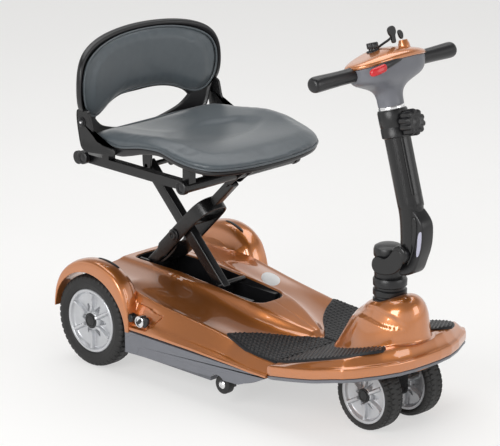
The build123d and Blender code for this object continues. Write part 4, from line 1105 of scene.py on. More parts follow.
# %% Ears
EAR_HOLE = np.array([-38.0, 547.0])
ear_outline = closed_outline([
    (-54, 562), (-52, 575), (-36, 577), (-18, 574), (-14, 558), (-8, 534), (4, 516), (26, 506), (66, 505), (70, 498), (62, 490),
    (20, 487), (-18, 483), (-38, 486), (-44, 500), (-50, 530), (-53, 548),
], 120)


def holed_plate(name, outline, centre, hole, put, low, high, material, body):
    """A plate whose rings run from the rim of a round hole to the outline, over both faces."""
    direction = outline - centre
    angle = np.arctan2(direction[:, 1], direction[:, 0])
    rim = centre + hole * np.stack([np.cos(angle), np.sin(angle)], axis=1)
    rings = []
    for share, level in ((0, low), (0.04, low - 0.0), (0.5, low), (0.96, low), (1.0, low + 1.2), (1.0, high - 1.2), (0.96, high),
                         (0.5, high), (0.04, high), (0, high)):
        rings.append(put(rim * (1 - share) + outline * share, level))
    return skin(name, np.swapaxes(np.stack(rings), 0, 1), material, body, wrap_rows=True, wrap_columns=True, crease=35)


for side_name, side in (("left", 1), ("right", -1)):
    holed_plate(f"seat_ear_{side_name}", ear_outline, EAR_HOLE, 6.5, upright, side * 194, side * 200, black_metal, "seat")
    bolt_profile = [(0.2, 3.4), (3.0, 3.4), (3.8, 4.6), (7.6, 4.6), (8.6, 3.8), (9.2, 1.6), (11.6, 1.4), (12.0, 0.4), (12.0, -1), (0.2, -1)]
    bolt_grid = disc_grid(EAR_HOLE[0], side * 200.4, EAR_HOLE[1], bolt_profile, side, around=36)
    skin(f"ear_bolt_{side_name}", bolt_grid, black_plastic, "backrest", crease=35)
    screw_grid = disc_grid(EAR_HOLE[0], side * 203.4, EAR_HOLE[1], [(0.2, 1.6), (2.4, 1.6), (3.4, 0.6), (3.4, -1), (0.2, -1)], side, around=24)
    skin(f"ear_screw_{side_name}", screw_grid, bright_metal, "backrest", crease=35)
print("seat made")

# %% [markdown]
# ## Backrest
# The backrest is a bowed black shell with a lens-shaped opening low down, and a grey pad stuck on its upper part.
# Both are drawn as outlines in the (across, height) plane and bent round the same upright cylinder.

# %% Backrest shell
BOW_RADIUS, BOW_REAR = 546.0, -84.0


def bowed(across, height, forward):
    """Wrap a point of the backrest's plane round the bow: further across lies further forward."""
    return place(BOW_REAR + forward + BOW_RADIUS - np.sqrt(BOW_RADIUS**2 - across**2), across, height)


def both_sides(half):
    """A closed outline from its half, listed from the top middle to the bottom middle."""
    half = np.asarray(half, float)
    return np.concatenate([half, (half * [-1, 1])[-2:0:-1]])


shell_outline = rounded(both_sides([
    (0, 728), (60, 726), (118, 720), (165, 708), (196, 690), (211, 662), (215, 628), (213, 596), (205, 574), (193, 566),
    (189, 548), (187, 528), (180, 508), (152, 486), (110, 475), (55, 470), (0, 469),
]), 240, closed=True)
lens_outline = rounded(both_sides([
    (0, 573), (30, 574), (62, 573), (92, 568), (116, 560), (132, 551), (139, 543.5), (142, 540), (138, 536), (132, 530), (122, 522),
    (108, 515), (90, 509), (70, 503), (45, 498), (20, 496), (0, 495.5),
]), 240, closed=True)
shell_rings = [(0.0, 4.0), (0.0, 8.0), (0.015, 14.0), (0.05, 15.5), (0.085, 13.0), (0.12, 9.5), (0.5, 9.0), (0.93, 9.0), (0.99, 8.6),
               (1.0, 6.5), (1.0, 2.5), (0.99, 0.4), (0.93, 0.0), (0.5, 0.0), (0.06, 0.0), (0.01, 0.6)]
shell_loops = np.stack([bowed(*(shell_outline * (1 - share) + lens_outline * share).T, forward) for share, forward in shell_rings])
weights = spline_weights(len(shell_rings), 64, closed=True)
shell_grid = np.tensordot(weights, shell_loops, axes=(1, 0))
shell_piece = skin("back_frame", shell_grid, black_plastic, "backrest", wrap_rows=True, wrap_columns=True, crease=60)
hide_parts("back_shell")

# %% Backrest pad
pad_outline = rounded(both_sides([
    (0, 715), (60, 713), (110, 706), (152, 694), (184, 676), (199, 650), (202, 622), (199, 594), (189, 570), (172, 554), (150, 549),
    (126, 557), (98, 572), (56, 581), (0, 583),
]), 240, closed=True)


def pad_grid(outline):
    """Rings from the middle of the front, over the edge, to the middle of the back, bent round the bow."""
    steps = [(0.03, 27), (0.35, 27), (0.6, 26.5), (0.8, 25), (0.9, 23), (0.96, 19.5), (1.0, 14), (1.0, 10.6), (0.97, 9.6), (0.9, 9.4),
             (0.5, 9.4), (0.03, 9.4)]
    middle = np.array([0.0, 642.0])
    loops = []
    for scale, forward in steps:
        ring = middle + (outline - middle) * scale
        loops.append(bowed(ring[:, 0], ring[:, 1], forward))
    return np.tensordot(spline_weights(len(steps), 70), np.stack(loops), axes=(1, 0))


back_pad_piece = skin("back_cushion", pad_grid(pad_outline), leatherette, "backrest")
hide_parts("back_pad")


def pad_still(points):
    """1 in the field of the pad, 0 at its edge and on its back."""
    across, height = points[:, 1] / MM, points[:, 2] / MM
    edge = np.min(np.hypot(across[:, None] - pad_outline[None, ::4, 0], height[:, None] - pad_outline[None, ::4, 1]), axis=1)
    rear = points[:, 0] / MM - REAR_AXLE - (BOW_REAR + BOW_RADIUS - np.sqrt(BOW_RADIUS**2 - across**2))
    return step_up(edge, 3, 26) * step_up(rear, 11, 16)


puff(back_pad_piece, 0.004, 0.004, pad_still)
pad_body(back_pad_piece)
welt_plane = inset(pad_outline, 1.0)
welt_points = bowed(welt_plane[:, 0], welt_plane[:, 1], 17.5) / MM - np.array([REAR_AXLE, 0, 0])
closed_tube("back_welt", welt_points, 2.2, leatherette, "backrest")
print("backrest made")
# %% [markdown]
# ## Scissor
# The seat stands on a scissor of two black legs. One leg begins as a wide steel strap, bent into a long U, and
# ends in a single bar; the other leg is one square bar that passes through the strap. A leg's own directions
# make them easy to draw: s runs up the leg from its rear foot, and t stands square to it, up and to the rear.

# %% Leg directions
FOOT = np.array([-7.1, 194.9])
HALF = math.sqrt(0.5)


def on_leg(s, across, t):
    """A point of the strapped leg: the foot plus s along the leg and t square to it."""
    return place(FOOT[0] + (s - t) * HALF, across, FOOT[1] + (s + t) * HALF)


def on_other_leg(s, across, t):
    """A point of the square bar: s runs down and forward from its upper end, t points up and forward."""
    return place(FOOT[0] + (s + t) * HALF, across, FOOT[1] + 226.2 + (t - s) * HALF)


def boxed(width, height, corner, samples=40):
    """A rectangle with round corners around 0: B-spline through doubled corner points."""
    w, h = width / 2, height / 2
    return closed_outline([(-w, -h + corner), (-w, h - corner), (-w + corner * 0.3, h - corner * 0.3), (-w + corner, h),
                           (w - corner, h), (w - corner * 0.3, h - corner * 0.3), (w, h - corner), (w, -h + corner),
                           (w - corner * 0.3, -h + corner * 0.3), (w - corner, -h), (-w + corner, -h),
                           (-w + corner * 0.3, -h + corner * 0.3)], samples)


# %% Strap
strap_path = rounded([(43, -41), (90, -41.5), (140, -42), (190, -42), (226, -40), (246, -26), (250, 0), (246, 26), (226, 40),
                      (190, 42), (140, 42), (90, 41.5), (43, 41)], 150)
strap_along = np.gradient(strap_path, axis=0)
strap_along /= np.linalg.norm(strap_along, axis=1, keepdims=True)
strap_normal = np.stack([-strap_along[:, 1], strap_along[:, 0]], axis=1)
strap_section = boxed(5.0, 33.0, 1.8)
end_share = np.minimum(strap_path[:, 0] - 43, 26) / 26
strap_top, strap_low = 12 - 12 * (1 - end_share), -21 + 6 * (1 - end_share)
section_t = strap_section[:, 1][None, :] / 33.0 * (strap_top - strap_low)[:, None] + ((strap_top + strap_low) / 2)[:, None]
section_n = strap_section[:, 0][None, :] + 2.5
strap_s = strap_path[:, 0][:, None] + strap_normal[:, 0][:, None] * section_n
strap_y = strap_path[:, 1][:, None] + strap_normal[:, 1][:, None] * section_n
strap = skin("leg_strap", on_leg(strap_s, strap_y, section_t), black_metal, "scissor_centre", crease=50)
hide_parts("leg_housing", "leg_cover")
print("strap reaches", round(float(strap_path[:, 0].max()), 1), "mm up the leg")

# %% Legs and feet


def leg_bar(name, put, s_from, s_to, middle_y, width, depth, offset, body, taper=0.0):
    """A square tube: the rounded rectangle carried along a leg, its depth eased by a taper."""
    section = boxed(width, depth, 3.2)
    s = np.concatenate([[s_from, s_from + 0.8], np.linspace(s_from + 2, s_to - 2, 40), [s_to - 0.8, s_to]])[:, None]
    pull = np.concatenate([[0.90, 0.97], np.ones(40), [0.97, 0.90]])[:, None]
    share = (s - s_from) / (s_to - s_from)
    grid = put(s, middle_y + section[None, :, 0] * pull, offset + section[None, :, 1] * pull * (1 - taper * share))
    return skin(name, grid, black_metal, body, crease=50)


upper_bar = leg_bar("leg_upper_bar", on_leg, 247, 331, 0, 21, 22, -3.5, "scissor_centre")
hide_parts("centre_leg")
side_bar = leg_bar("leg_square_bar", on_other_leg, -10, 330, -21.5, 21, 28, -5.0, "scissor_sides")
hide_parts("side_legs")
for side_name, side in (("left", 1), ("right", -1)):
    leg_bar(f"leg_foot_{side_name}", on_leg, -9, 112, side * 36, 6, 26, -5, "scissor_centre")
belly = rounded([(10, -13), (30, -22), (60, -27), (96, -27), (124, -20), (120, -17), (94, -23), (60, -23), (32, -18), (14, -10)], 90,
                closed=True)
belly_across = np.linspace(-36, 36, 9)[:, None]
skin("leg_belly", on_leg(belly[None, :, 0], belly_across, belly[None, :, 1]), black_metal, "scissor_centre", crease=50)

# %% Pins and pivot bolt


def pin(name, ahead, height, half_length, radius, material, body):
    """A turned pin across the scooter with a small chamfer on both ends."""
    across = np.array([-half_length, -half_length, -half_length + 1.5, half_length - 1.5, half_length, half_length])
    reach = np.array([0.3, radius - 1.2, radius, radius, radius - 1.2, 0.3])
    angle = np.linspace(0, 2 * np.pi, 32, endpoint=False)
    ring = place(ahead + reach[:, None] * np.sin(angle), across[:, None] + 0 * angle, height + reach[:, None] * np.cos(angle))
    return skin(name, ring, material, body, crease=40)


pin("foot_pin", FOOT[0], FOOT[1], 44, 6, black_metal, "scissor_centre")
pin("crossing_pin", 106, 308, 39, 7, black_metal, "scissor_centre")
pin("runner_pin", 219.1, 421.1, 14, 6, black_metal, "scissor_centre")
pin("front_foot_pin", 219.1, 194.9, 42, 6, black_metal, "scissor_sides")
pin("hinge_pin", FOOT[0], 421.1, 39, 6, black_metal, "scissor_sides")
for side_name, side in (("left", 1), ("right", -1)):
    bolt_plane = [(0.2, 0.8), (3.4, 0.8), (4.4, 1.6), (5.0, 4.2), (7.4, 4.8), (9.4, 4.4), (10.4, 3.0), (10.6, 1.6), (13.4, 1.4),
                  (14.2, 0.6), (14.4, -1), (0.2, -1)]
    bolt_s, bolt_t = 126.0, -3.0
    star = disc_grid(FOOT[0] + (bolt_s - bolt_t) * HALF, side * 44.2, FOOT[1] + (bolt_s + bolt_t) * HALF, bolt_plane, side, around=48)
    skin(f"pivot_bolt_{side_name}", star, black_plastic, "scissor_centre", crease=35)
print("scissor made")

# %% [markdown]
# ## Under the seat
# A slim bracket hangs from the rear of the seat frame for one leg, and a flared gusset meets the other leg
# behind the front tube. Both are thin plates, so a stack of one outline gives their rounded edges.

# %% Seat brackets and tube ends
for side_name, side in (("left", 1), ("right", -1)):
    cheek_outline = closed_outline([(-20, 452), (-19, 420), (-14, 410), (-7, 407), (0, 410), (6, 420), (10, 452), (10, 462), (-20, 462)], 90)
    cheek = plate(f"seat_hinge_{side_name}", cheek_outline, upright, min(side * 34, side * 39), max(side * 34, side * 39), 1.2,
                  black_metal, "seat")
    gusset_outline = closed_outline([
        (212, 436), (214, 430), (222, 424), (234, 422), (247, 434), (262, 446), (288, 464), (296, 474), (252, 476), (214, 470),
        (211, 450)], 110)
    plate(f"seat_gusset_{side_name}", gusset_outline, upright, min(side * 13, side * 17), max(side * 13, side * 17), 1.2,
          black_metal, "seat")
    if side == 1:
        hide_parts("seat_hinges")
    ring_profile = [(0.2, -0.6), (6.0, -0.6), (7.4, -1.4), (9.2, -1.4), (10.6, 0.4), (13.6, 0.9), (14.9, 0.0), (15.2, -3.0), (15.2, -9.0),
                    (0.2, -9.0)]
    for spot, ahead in (("front", 246.1), ("rear", -66.0)):
        cap = disc_grid(ahead, side * 176, 452.5 if spot == "front" else 456.0, ring_profile, side, around=48)
        skin(f"tube_end_{spot}_{side_name}", cap, black_plastic, "seat", crease=40)
across_beam = tube("seat_cross_beam", straight((236, -96, 466), (236, 96, 466), 12), 7.5, black_metal, "seat", around=28)
print("seat brackets made")

# %% [markdown]
# ## Tray
# Below the belt hangs a grey tray. Its side wall stops in the middle for the battery, whose own panel lies a
# little deeper, and a small roller shows in front of it.

# %% Tray and battery panels
for side_name, side in (("left", 1), ("right", -1)):
    for piece_name, outline_points, outer, thick in (
        ("tray_rear_wall", [(109, 107.5), (109, 58.5), (116, 58), (140, 59), (149, 66), (153, 78), (160, 81), (240, 80), (330, 82),
                            (400, 83), (420, 90), (440, 97), (520, 106), (538, 107), (541, 107.5), (400, 108), (250, 108)], 214.6, 6.0),
        ("battery_panel", [(155, 76), (154, 62), (160, 58), (220, 60), (300, 63), (345, 65), (352, 70), (352, 78), (340, 82), (250, 82),
                           (165, 82)], 211.5, 6.0),
        ("tray_front_wedge", [(432, 98), (428, 84), (432, 74), (458, 73), (500, 86), (526, 99), (536, 106), (500, 106), (460, 106)], 212.5,
         6.0),
    ):
        low_level, high_level = sorted((side * (outer - thick), side * outer))
        plate(f"{piece_name}_{side_name}", closed_outline(outline_points, 150), upright, low_level, high_level, 1.6, grey_plastic,
              "chassis")
    hub_profile = [(0.2, 2.0), (2.2, 2.0), (3.0, 3.0), (6.0, 2.8), (7.0, 1.6), (8.6, 0.8), (9.2, 0.2), (9.4, -1), (0.2, -1)]
    hub = disc_grid(395, side * 199.4, 52, hub_profile, side, around=36)
    skin(f"roller_hub_{side_name}", hub, bright_metal, f"roller_{side_name}", crease=35)
print("tray made")
# %% [markdown]
# ## Tiller
# The tiller folds on a stub over the steering. A curved arm rises from the stub into a leaning column, and a
# lever with a plain pale patch lies along the arm. The column's own directions are used for everything on it:
# k runs up the column from its foot, f stands square to it and points ahead.

# %% Column directions
COLUMN_FOOT = np.array([748.0, 490.0])
LEAN = math.radians(16.2)
UP = np.array([-math.sin(LEAN), math.cos(LEAN)])
FORE = np.array([math.cos(LEAN), math.sin(LEAN)])


def on_column(k, fore, across):
    """A point of the tiller: the column's foot plus k up the column and fore square to it."""
    return place(COLUMN_FOOT[0] + k * UP[0] + fore * FORE[0], across, COLUMN_FOOT[1] + k * UP[1] + fore * FORE[1])


def turned_up(name, centre_ahead, profile, material, body, around=72, crease=35):
    """A piece turned round an upright axis: a profile of (radius, height)."""
    profile = np.asarray(profile, float)
    angle = np.linspace(0, 2 * np.pi, around, endpoint=False)
    grid = place(centre_ahead + profile[:, :1] * np.cos(angle), profile[:, :1] * np.sin(angle), profile[:, 1:] + 0 * angle)
    return skin(name, grid, material, body, crease=crease)


def turned_on_column(name, profile, material, body, around=72, grooves=None, crease=40):
    """A piece turned round the column: a profile of (radius, k), with optional shallow grooves along it."""
    profile = np.asarray(profile, float)
    angle = np.linspace(0, 2 * np.pi, around, endpoint=False)
    reach = profile[:, :1] + 0 * angle
    if grooves:
        for middle, half, depth in grooves:
            apart = np.abs((angle - math.radians(middle) + np.pi) % (2 * np.pi) - np.pi)
            reach = reach - depth * (1 - step_up(apart, math.radians(half) * 0.6, math.radians(half)))
    return skin(name, on_column(profile[:, 1:] + 0 * angle, reach * np.cos(angle), reach * np.sin(angle)), material, body,
                crease=crease)


# %% Collar and stub
collar = [(0.5, 248), (33, 248), (33, 258), (36, 262), (36, 272), (32, 275), (32, 279), (36, 282), (36, 292), (32, 295), (32, 299),
          (36, 302), (36.5, 314), (34, 319), (0.5, 320)]
collar_piece = turned_up("steering_bellows", 694, collar, black_plastic, "steering")
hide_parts("steering_collar")
stub = [(0.5, 318), (29.5, 318), (30, 326), (29.5, 345), (29, 362), (30.8, 364), (32, 367), (32, 378), (30, 384), (24, 387.5), (12, 389),
        (0.5, 389.3)]
stub_piece = turned_up("stub_body", 689, stub, black_plastic, "steering")
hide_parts("tiller_stub")
dimple = disc_grid(684, -28.5, 348, [(0.2, -0.5), (5.0, -0.3), (6.4, 1.6), (8.0, 1.8), (8.6, 0.6), (8.6, -4), (0.2, -4)], -1, around=36)
skin("stub_screw", dimple, black_metal, "steering", crease=35)

# %% Arm and lever
arm_path = rounded([(743, 0, 508), (748, 0, 490), (753, 0, 462), (755, 0, 430), (756, 0, 402), (753, 0, 384), (747, 0, 376)], 60)
arm_radius = through([0, 0.4, 1.0], [27.5, 25.5, 25.0], np.linspace(0, 1, 60))
arm_piece = tube("tiller_bend", arm_path, arm_radius, black_metal, "tiller", around=64)
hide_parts("tiller_arm")
bridge_outline = closed_outline([(728, 386), (734, 400), (752, 408), (768, 398), (770, 380), (757, 364), (740, 362)], 80)
plate("arm_bridge", bridge_outline, upright, -37.5, 37.5, 6, black_metal, "tiller")
cheek_outline = closed_outline([
    (674, 350), (679, 365), (692, 369), (708, 367), (722, 375), (735, 394), (754, 398), (765, 378), (752, 352), (730, 338), (706, 333),
    (690, 332), (678, 338),
], 120)
for side_name, side in (("left", 1), ("right", -1)):
    low_side, high_side = sorted((side * 32.5, side * 38))
    plate(f"arm_cheek_{side_name}", cheek_outline, upright, low_side, high_side, 1.8, black_metal, "tiller")
lever_outline = closed_outline([
    (758, 470), (764, 480), (771, 483), (783, 473), (795, 460), (799, 445), (798, 415), (793, 394), (785, 374), (777, 352), (766, 342),
    (744, 334), (732, 336), (736, 350), (748, 382), (759, 410), (761, 430), (757, 452),
], 160)
lever_piece = plate("lever_plate", lever_outline, upright, -18, 18, 4.5, black_plastic, "tiller")
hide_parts("fold_lever")
groove_outline = closed_outline([(768, 466), (776, 472), (783, 462), (784, 440), (780, 410), (770, 380), (760, 360), (756, 362), (764, 390),
                                 (770, 420), (771, 445)], 120)
plate("lever_web", groove_outline, upright, -20.5, 20.5, 2.4, black_metal, "tiller")
label_paper = finish("label_paper", (0.42, 0.42, 0.52), 0.4, mottle=0.05)
patch_outline = closed_outline([(786, 430), (790, 440), (796, 443), (797, 428), (794, 404), (789, 388), (783, 384), (783, 396),
                                (785, 412)], 80)
plate("lever_patch", patch_outline, upright, -18.8, -17.4, 0.5, label_paper, "tiller")
print("arm and lever made")

# %% Column and clamp
column = np.array([(0.5, -12), (24, -12), (27, -8), *[(27.5, k) for k in np.linspace(-2, 146, 30)], (0.5, 146)])
column_piece = turned_on_column("column_shell", column, black_metal, "tiller", around=144,
                                grooves=[(-27, 7, 2.2), (27, 7, 2.2), (180, 9, 2.2)])
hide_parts("column_tube")
clamp = [(0.5, 140), (29.5, 140), (31.8, 142), (31.8, 160), (31.0, 161), (31.0, 163), (31.8, 164), (31.8, 194), (30, 198), (0.5, 199)]
clamp_piece = turned_on_column("clamp_body", clamp, black_plastic, "tiller")
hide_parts("height_clamp")


def knob_grid(k, start, profile, flutes, depth):
    """A fluted knob on an axis that points ahead: radius of the profile less a cosine flute on its rim."""
    profile = np.asarray(profile, float)
    angle = np.linspace(0, 2 * np.pi, 144, endpoint=False)
    reach = profile[:, :1] + 0 * angle
    rim = step_up(reach, 17, 22)
    reach = reach - rim * depth * (0.5 - 0.5 * np.cos(angle * flutes)) ** 2
    return on_column(k + reach * np.cos(angle), start + profile[:, 1:] + 0 * angle, reach * np.sin(angle))


knob_profile = [(0.3, 0), (14, 0), (14, 7), (22, 8), (26.5, 10.5), (28, 14), (28, 32), (26.5, 36), (22, 38), (16, 37), (12, 35.5), (8, 35.5),
                (6, 36.5), (0.3, 37)]
knob_piece = skin("clamp_star", knob_grid(166, 26, knob_profile, 10, 4.2), black_plastic, "tiller", crease=35)
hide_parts("clamp_knob")

# %% [markdown]
# ## Control head
# The head is a grey funnel that flares into two wings, with a copper lid on it. Both are rings round the column
# that change from a circle at the neck into a wide rounded box, each ring with its own reach to the front, to the
# rear and to the sides. The lid rises with the height adjustment, so both ride on the control head.

# %% Head shells
HEAD_TURN = np.linspace(0, 2 * np.pi, 160, endpoint=False)


def head_rings(rows, samples, power_from=2.0, power_to=3.0):
    """Superellipse rings: rows give k, side reach, front reach, rear reach and how far the wing tips droop."""
    rows = np.asarray(rows, float)
    weights = spline_weights(len(rows), samples)
    k, side_reach, front, rear, droop = (weights @ rows).T[:, :, None]
    power = power_from + (power_to - power_from) * step_up(side_reach, 30, 80)
    c, s = np.cos(HEAD_TURN), np.sin(HEAD_TURN)
    shape_c = np.sign(c) * np.abs(c) ** (2 / power)
    shape_s = np.sign(s) * np.abs(s) ** (2 / power)
    fore = np.where(c > 0, front, rear) * shape_c
    across = side_reach * shape_s
    return on_column(k - droop * np.abs(shape_s) ** 2.2, fore, across)


lower_rows = [(204, 25, 25, 25, 0), (205, 27.5, 27.5, 27.5, 0), (212, 27.5, 27.5, 27.5, 0), (224, 28, 28, 27, 0), (236, 33, 31, 28, 0),
              (246, 46, 36, 29, 0), (254, 66, 43, 30, 0), (262, 84, 51, 32, 1), (272, 93, 57, 33, 2), (284, 96, 60, 34, 3), (296, 97, 62, 35, 5),
              (300, 97, 62, 35, 5), (300, 60, 40, 26, 3), (300, 2, 2, 2, 0)]
lower_piece = skin("head_funnel", head_rings(lower_rows, 110, 2.0, 2.7), grey_plastic, "control_head", crease=45)
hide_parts("head_lower")
upper_rows = [(299, 4, 4, 4, 3), (299, 70, 40, 30, 4), (298.5, 97, 61, 35, 5), (301, 100, 65, 37, 5), (307, 100, 64.5, 37, 6), (313, 95, 58, 34, 8),
              (318, 84, 48, 30, 9), (323, 64, 34, 24, 9), (326, 38, 20, 16, 5), (327, 3, 2, 2, 0)]
upper_piece = skin("head_lid", head_rings(upper_rows, 110, 2.0, 2.7), copper_paint, "control_head", crease=45)
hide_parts("head_upper")
ring = [(0.5, 196), (26.6, 196), (27.6, 197.5), (27.6, 204), (26.6, 205.5), (0.5, 206)]
turned_on_column("neck_ring", ring, bright_metal, "control_head")

# %% Head fittings
slot_share = np.linspace(0, 1, 70)
slot_middle = np.stack([-84 + 96 * slot_share, 62.5 - 9 * (2 * slot_share - 1) ** 2 + 2.5, 288 + 14 * slot_share], axis=1)
slot_tall = (9.5 * np.sqrt(np.clip(1 - (2 * slot_share - 1) ** 6, 0.004, 1)) * (1 - 0.72 * slot_share))[:, None]
slot_section = boxed(2.0, 2.0, 0.9)
slot_grid_points = on_column(slot_middle[:, 2:] + slot_section[None, :, 1] * slot_tall, slot_middle[:, 1:2] + slot_section[None, :, 0] * 2.5 - 1.5,
                             slot_middle[:, :1] + 0 * slot_section[None, :, 0])
skin("paddle_slot", slot_grid_points, black_plastic, "control_head", crease=50)
paddle_share = np.linspace(-1, 1, 60)
paddle_end = np.sqrt(np.clip(1 - np.abs(paddle_share) ** 6, 0.01, 1))[:, None]
paddle_section = boxed(12, 17, 5)
paddle_fore = (56 + 7 * (1 - (paddle_share - 0.6) ** 2 * 0.5))[:, None]
paddle_grid = on_column(287 + 3 * paddle_share[:, None] + paddle_section[None, :, 1] * paddle_end,
                        paddle_fore + paddle_section[None, :, 0] * paddle_end, (-76 + 20 * paddle_share)[:, None] + 0 * paddle_section[None, :, 0])
paddle = skin("red_paddle", paddle_grid, red_plastic, "control_head", crease=50)
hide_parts("thumb_paddle")


def handle_grid(profile, side):
    """A grip turned round the handlebar: a profile of (distance from the middle, radius)."""
    profile = rounded(np.asarray(profile, float), 60)
    angle = np.linspace(0, 2 * np.pi, 56, endpoint=False)
    return on_column(286 + profile[:, 1:] * np.cos(angle), profile[:, 1:] * np.sin(angle), side * profile[:, :1] + 0 * angle)


grip_profile = [(88, 0.3), (88, 13), (92, 16.5), (104, 15.6), (130, 15.2), (170, 16.2), (196, 17.0), (206, 16.6), (211, 13), (212.5, 6), (212.5, 0.3)]
cuff_profile = [(70, 0.3), (70, 19), (82, 21), (91, 20.5), (93, 17.5), (93, 0.3)]
for side_name, side in (("left", 1), ("right", -1)):
    grip = skin(f"grip_{side_name}", handle_grid(grip_profile, side), black_plastic, "control_head", crease=50)
    if side == 1:
        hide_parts("grips")
    skin(f"grip_cuff_{side_name}", handle_grid(cuff_profile, side), grey_plastic, "control_head", crease=50)


def dial_grid(k, fore, across, profile, flutes=0, depth=0.0):
    """A small dial that stands on the lid: a profile of (radius, height) with flutes round its rim."""
    profile = np.asarray(profile, float)
    angle = np.linspace(0, 2 * np.pi, 72, endpoint=False)
    reach = profile[:, :1] - depth * (0.5 - 0.5 * np.cos(angle * flutes)) * step_up(profile[:, :1], 6, 9)
    return on_column(k + profile[:, 1:] + 0 * angle, fore + reach * np.cos(angle), across + reach * np.sin(angle))


dial = skin("speed_dial", dial_grid(320, 2, -22, [(0.3, -4), (15.5, -4), (15.5, 3), (14, 5), (10, 5.5), (9.6, 8), (12, 9), (12.6, 11), (12.6, 19),
                                                  (11.4, 20.5), (0.3, 21)], 12, 1.0), black_plastic, "control_head", crease=40)
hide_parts("speed_knob")
lock_barrel = skin("lock_barrel", dial_grid(318, 30, 40, [(0.3, -2), (13, -2), (12, 6), (9.5, 13), (9, 15), (0.3, 15.5)]), copper_paint, "control_head",
                   crease=40)
key_outline = closed_outline([(-9, 330), (-8, 344), (-14, 350), (-15, 362), (-4, 367), (6, 364), (8, 352), (2, 345), (3, 330)], 80)
key_piece = plate("key_bow", key_outline, lambda outline, level: on_column(outline[:, 1], 22 + level, 24 + outline[:, 0]), -3, 3, 1.4, black_plastic,
                  "control_head")
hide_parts("key_clip")
key_tab = closed_outline([(16, 336), (12, 352), (20, 356), (28, 346), (24, 334)], 60)
plate("key_tab", key_tab, lambda outline, level: on_column(outline[:, 1], 26 + level, 20 + outline[:, 0]), -2.5, 2.5, 1.2, black_plastic, "control_head")
tube("key_cord", rounded([(3, -12, 327), (12, 0, 334), (20, 14, 340), (22, 22, 346)], 30) @ np.array([[FORE[0], 0, FORE[1]], [0, 1, 0], [UP[0], 0, UP[1]]])
     + np.array([COLUMN_FOOT[0], 0, COLUMN_FOOT[1]]), 2.6, black_plastic, "control_head", around=16)
print("head made")
# %% [markdown]
# ## Small pieces on the rear body
# The slot is lined in black, two ports sit in the side pocket, a plain oval badge lies on the deck and a dark
# slit runs along each fender. What lies on the deck takes its height from the deck's own sections.

# %% Deck heights
top_columns = int(np.argmax(half_y[len(half_y) // 2]))


def deck_surface(ahead, across):
    """Height of the rear deck: each of nine sections is read at the wanted distance across, then blended along."""
    stations = np.linspace(ahead.min() - 1, ahead.max() + 1, 9)
    rows = np.searchsorted(rear_rows, stations)
    heights = np.stack([np.interp(across.ravel(), half_y[row, :top_columns], half_z[row, :top_columns]) for row in rows])
    share = np.clip((ahead.ravel() - stations[0]) / (stations[1] - stations[0]), 0, 7.999)
    cell = share.astype(int)
    column = np.arange(across.size)
    blend = share - cell
    return (heights[cell, column] * (1 - blend) + heights[cell + 1, column] * blend).reshape(across.shape)


# %% Slot lining
lining_half = np.concatenate([SLOT_REAR + 16 * (1 - np.cos(np.linspace(0.02, np.pi / 2, 14))), np.linspace(-20, 305, 40),
                              SLOT_FRONT - 40 + 40 * np.sin(np.linspace(0, np.pi / 2 - 0.02, 22))])
lining_width = slot_width(lining_half) - 0.3
lining_ahead = np.concatenate([lining_half, lining_half[::-1]])
lining_side = np.concatenate([lining_width, -lining_width[::-1]])
lining_top = deck_value("flank", lining_ahead) + deck_value("crown", lining_ahead) - 2.0
lining_centre = (SLOT_REAR + SLOT_FRONT) / 2
inner_ahead = lining_centre + (lining_ahead - lining_centre) * 0.992
inner_side = lining_side * 0.962
lining = np.stack([place(lining_ahead, lining_side, 0 * lining_top + 152), place(lining_ahead, lining_side, lining_top - 0.6),
                   place((lining_ahead + inner_ahead) / 2, (lining_side + inner_side) / 2, lining_top),
                   place(inner_ahead, inner_side, lining_top - 0.6), place(inner_ahead, inner_side, 0 * lining_top + 152)], axis=1)
skin("slot_lining", lining, black_plastic, "chassis", wrap_rows=True, wrap_columns=True, crease=50)
floor_outline = np.stack([inner_ahead, inner_side], axis=1)
plate("slot_floor", floor_outline, lambda outline, level: place(outline[:, 0], outline[:, 1], level), 150.5, 154.6, 0.4, black_plastic, "chassis")

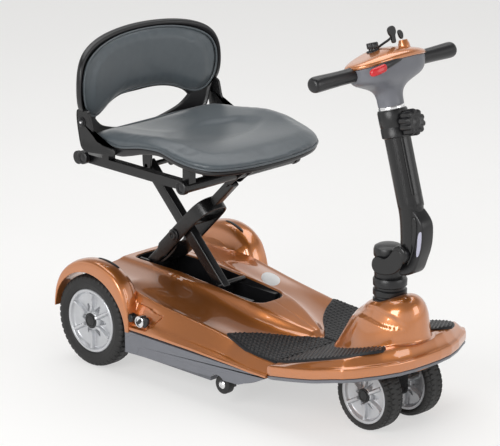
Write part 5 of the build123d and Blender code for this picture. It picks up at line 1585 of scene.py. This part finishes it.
# %% Ports
cap_piece = [(0.3, 9.6), (2.6, 9.6), (3.2, 8.4), (7.4, 8.2), (8.8, 7.2), (9.6, 5), (9.6, -6), (0.3, -6)]
knob_ring = [(9.6, 7.5), (10.2, 9.6), (12.0, 10.0), (13.0, 9.0), (13.4, 6), (13.4, -6), (9.6, -6)]
knob_face = [(0.3, 6.8), (9.0, 6.8), (9.5, 5.8), (9.5, -5), (0.3, -5)]
for side_name, side in (("left", 1), ("right", -1)):
    cap = skin(f"charge_cap_{side_name}", disc_grid(124, side * 207, 139, cap_piece, side), black_plastic, "chassis", crease=35)
    if side == 1:
        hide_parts("side_ports")
    skin(f"port_ring_{side_name}", disc_grid(156, side * 207.5, 139, knob_ring, side), bright_metal, "chassis", crease=35)
    skin(f"port_face_{side_name}", disc_grid(156, side * 207.5, 139, knob_face, side), black_plastic, "chassis", crease=35)
    bar_outline = closed_outline([(150, 134), (153, 131), (163, 142), (162, 147), (158, 147), (149, 138)], 50)
    low_level, high_level = sorted((side * 212, side * 218.5))
    plate(f"port_bar_{side_name}", bar_outline, upright, low_level, high_level, 1.5, black_plastic, "chassis")
    block_outline = closed_outline([(163, 150), (163, 128), (168, 126), (176, 132), (180, 142), (178, 150), (170, 152)], 60)
    low_level, high_level = sorted((side * 206, side * 213.5))
    plate(f"port_block_{side_name}", block_outline, upright, low_level, high_level, 1.5, black_plastic, "chassis")

# %% Badge and fender slits
badge_white = finish("badge_white", (0.72, 0.72, 0.72), 0.25, mottle=0.02, coat=0.6)
badge_turn = np.linspace(0, 2 * np.pi, 64, endpoint=False)
badge_share = np.array([0.02, 0.4, 0.75, 0.92, 1.0, 1.0, 0.5, 0.02])
badge_rise = np.array([2.4, 2.3, 2.0, 1.4, 0.4, -1.5, -1.5, -1.5])
badge_a = 224 + badge_share[:, None] * (HALF * 21 * np.cos(badge_turn) + HALF * 40 * np.sin(badge_turn))
badge_y = 120 + badge_share[:, None] * (HALF * 21 * np.cos(badge_turn) - HALF * 40 * np.sin(badge_turn))
skin("oval_badge", place(badge_a, badge_y, deck_surface(badge_a, badge_y) + badge_rise[:, None]), badge_white, "chassis", crease=50)
slit_angle = np.radians(np.linspace(2, 27, 40))
slit_out = through(FENDER_ANGLE, FENDER_OUT, np.degrees(slit_angle))
for side_name, side in (("left", 1), ("right", -1)):
    slit_across = side * (196 - 6 * np.linspace(0, 1, 40))
    slit_reach = slit_out - 0.4
    slit_path = np.stack([slit_reach * np.sin(slit_angle), slit_across, AXLE_Z + slit_reach * np.cos(slit_angle)], axis=1)
    slit_width = 3.4 * np.sqrt(np.clip(1 - np.abs(np.linspace(-1, 1, 40)) ** 8, 0.01, 1))
    tube(f"fender_slit_{side_name}", slit_path, slit_width, black_plastic, "chassis", around=20, flat=0.45)
print("small pieces made")
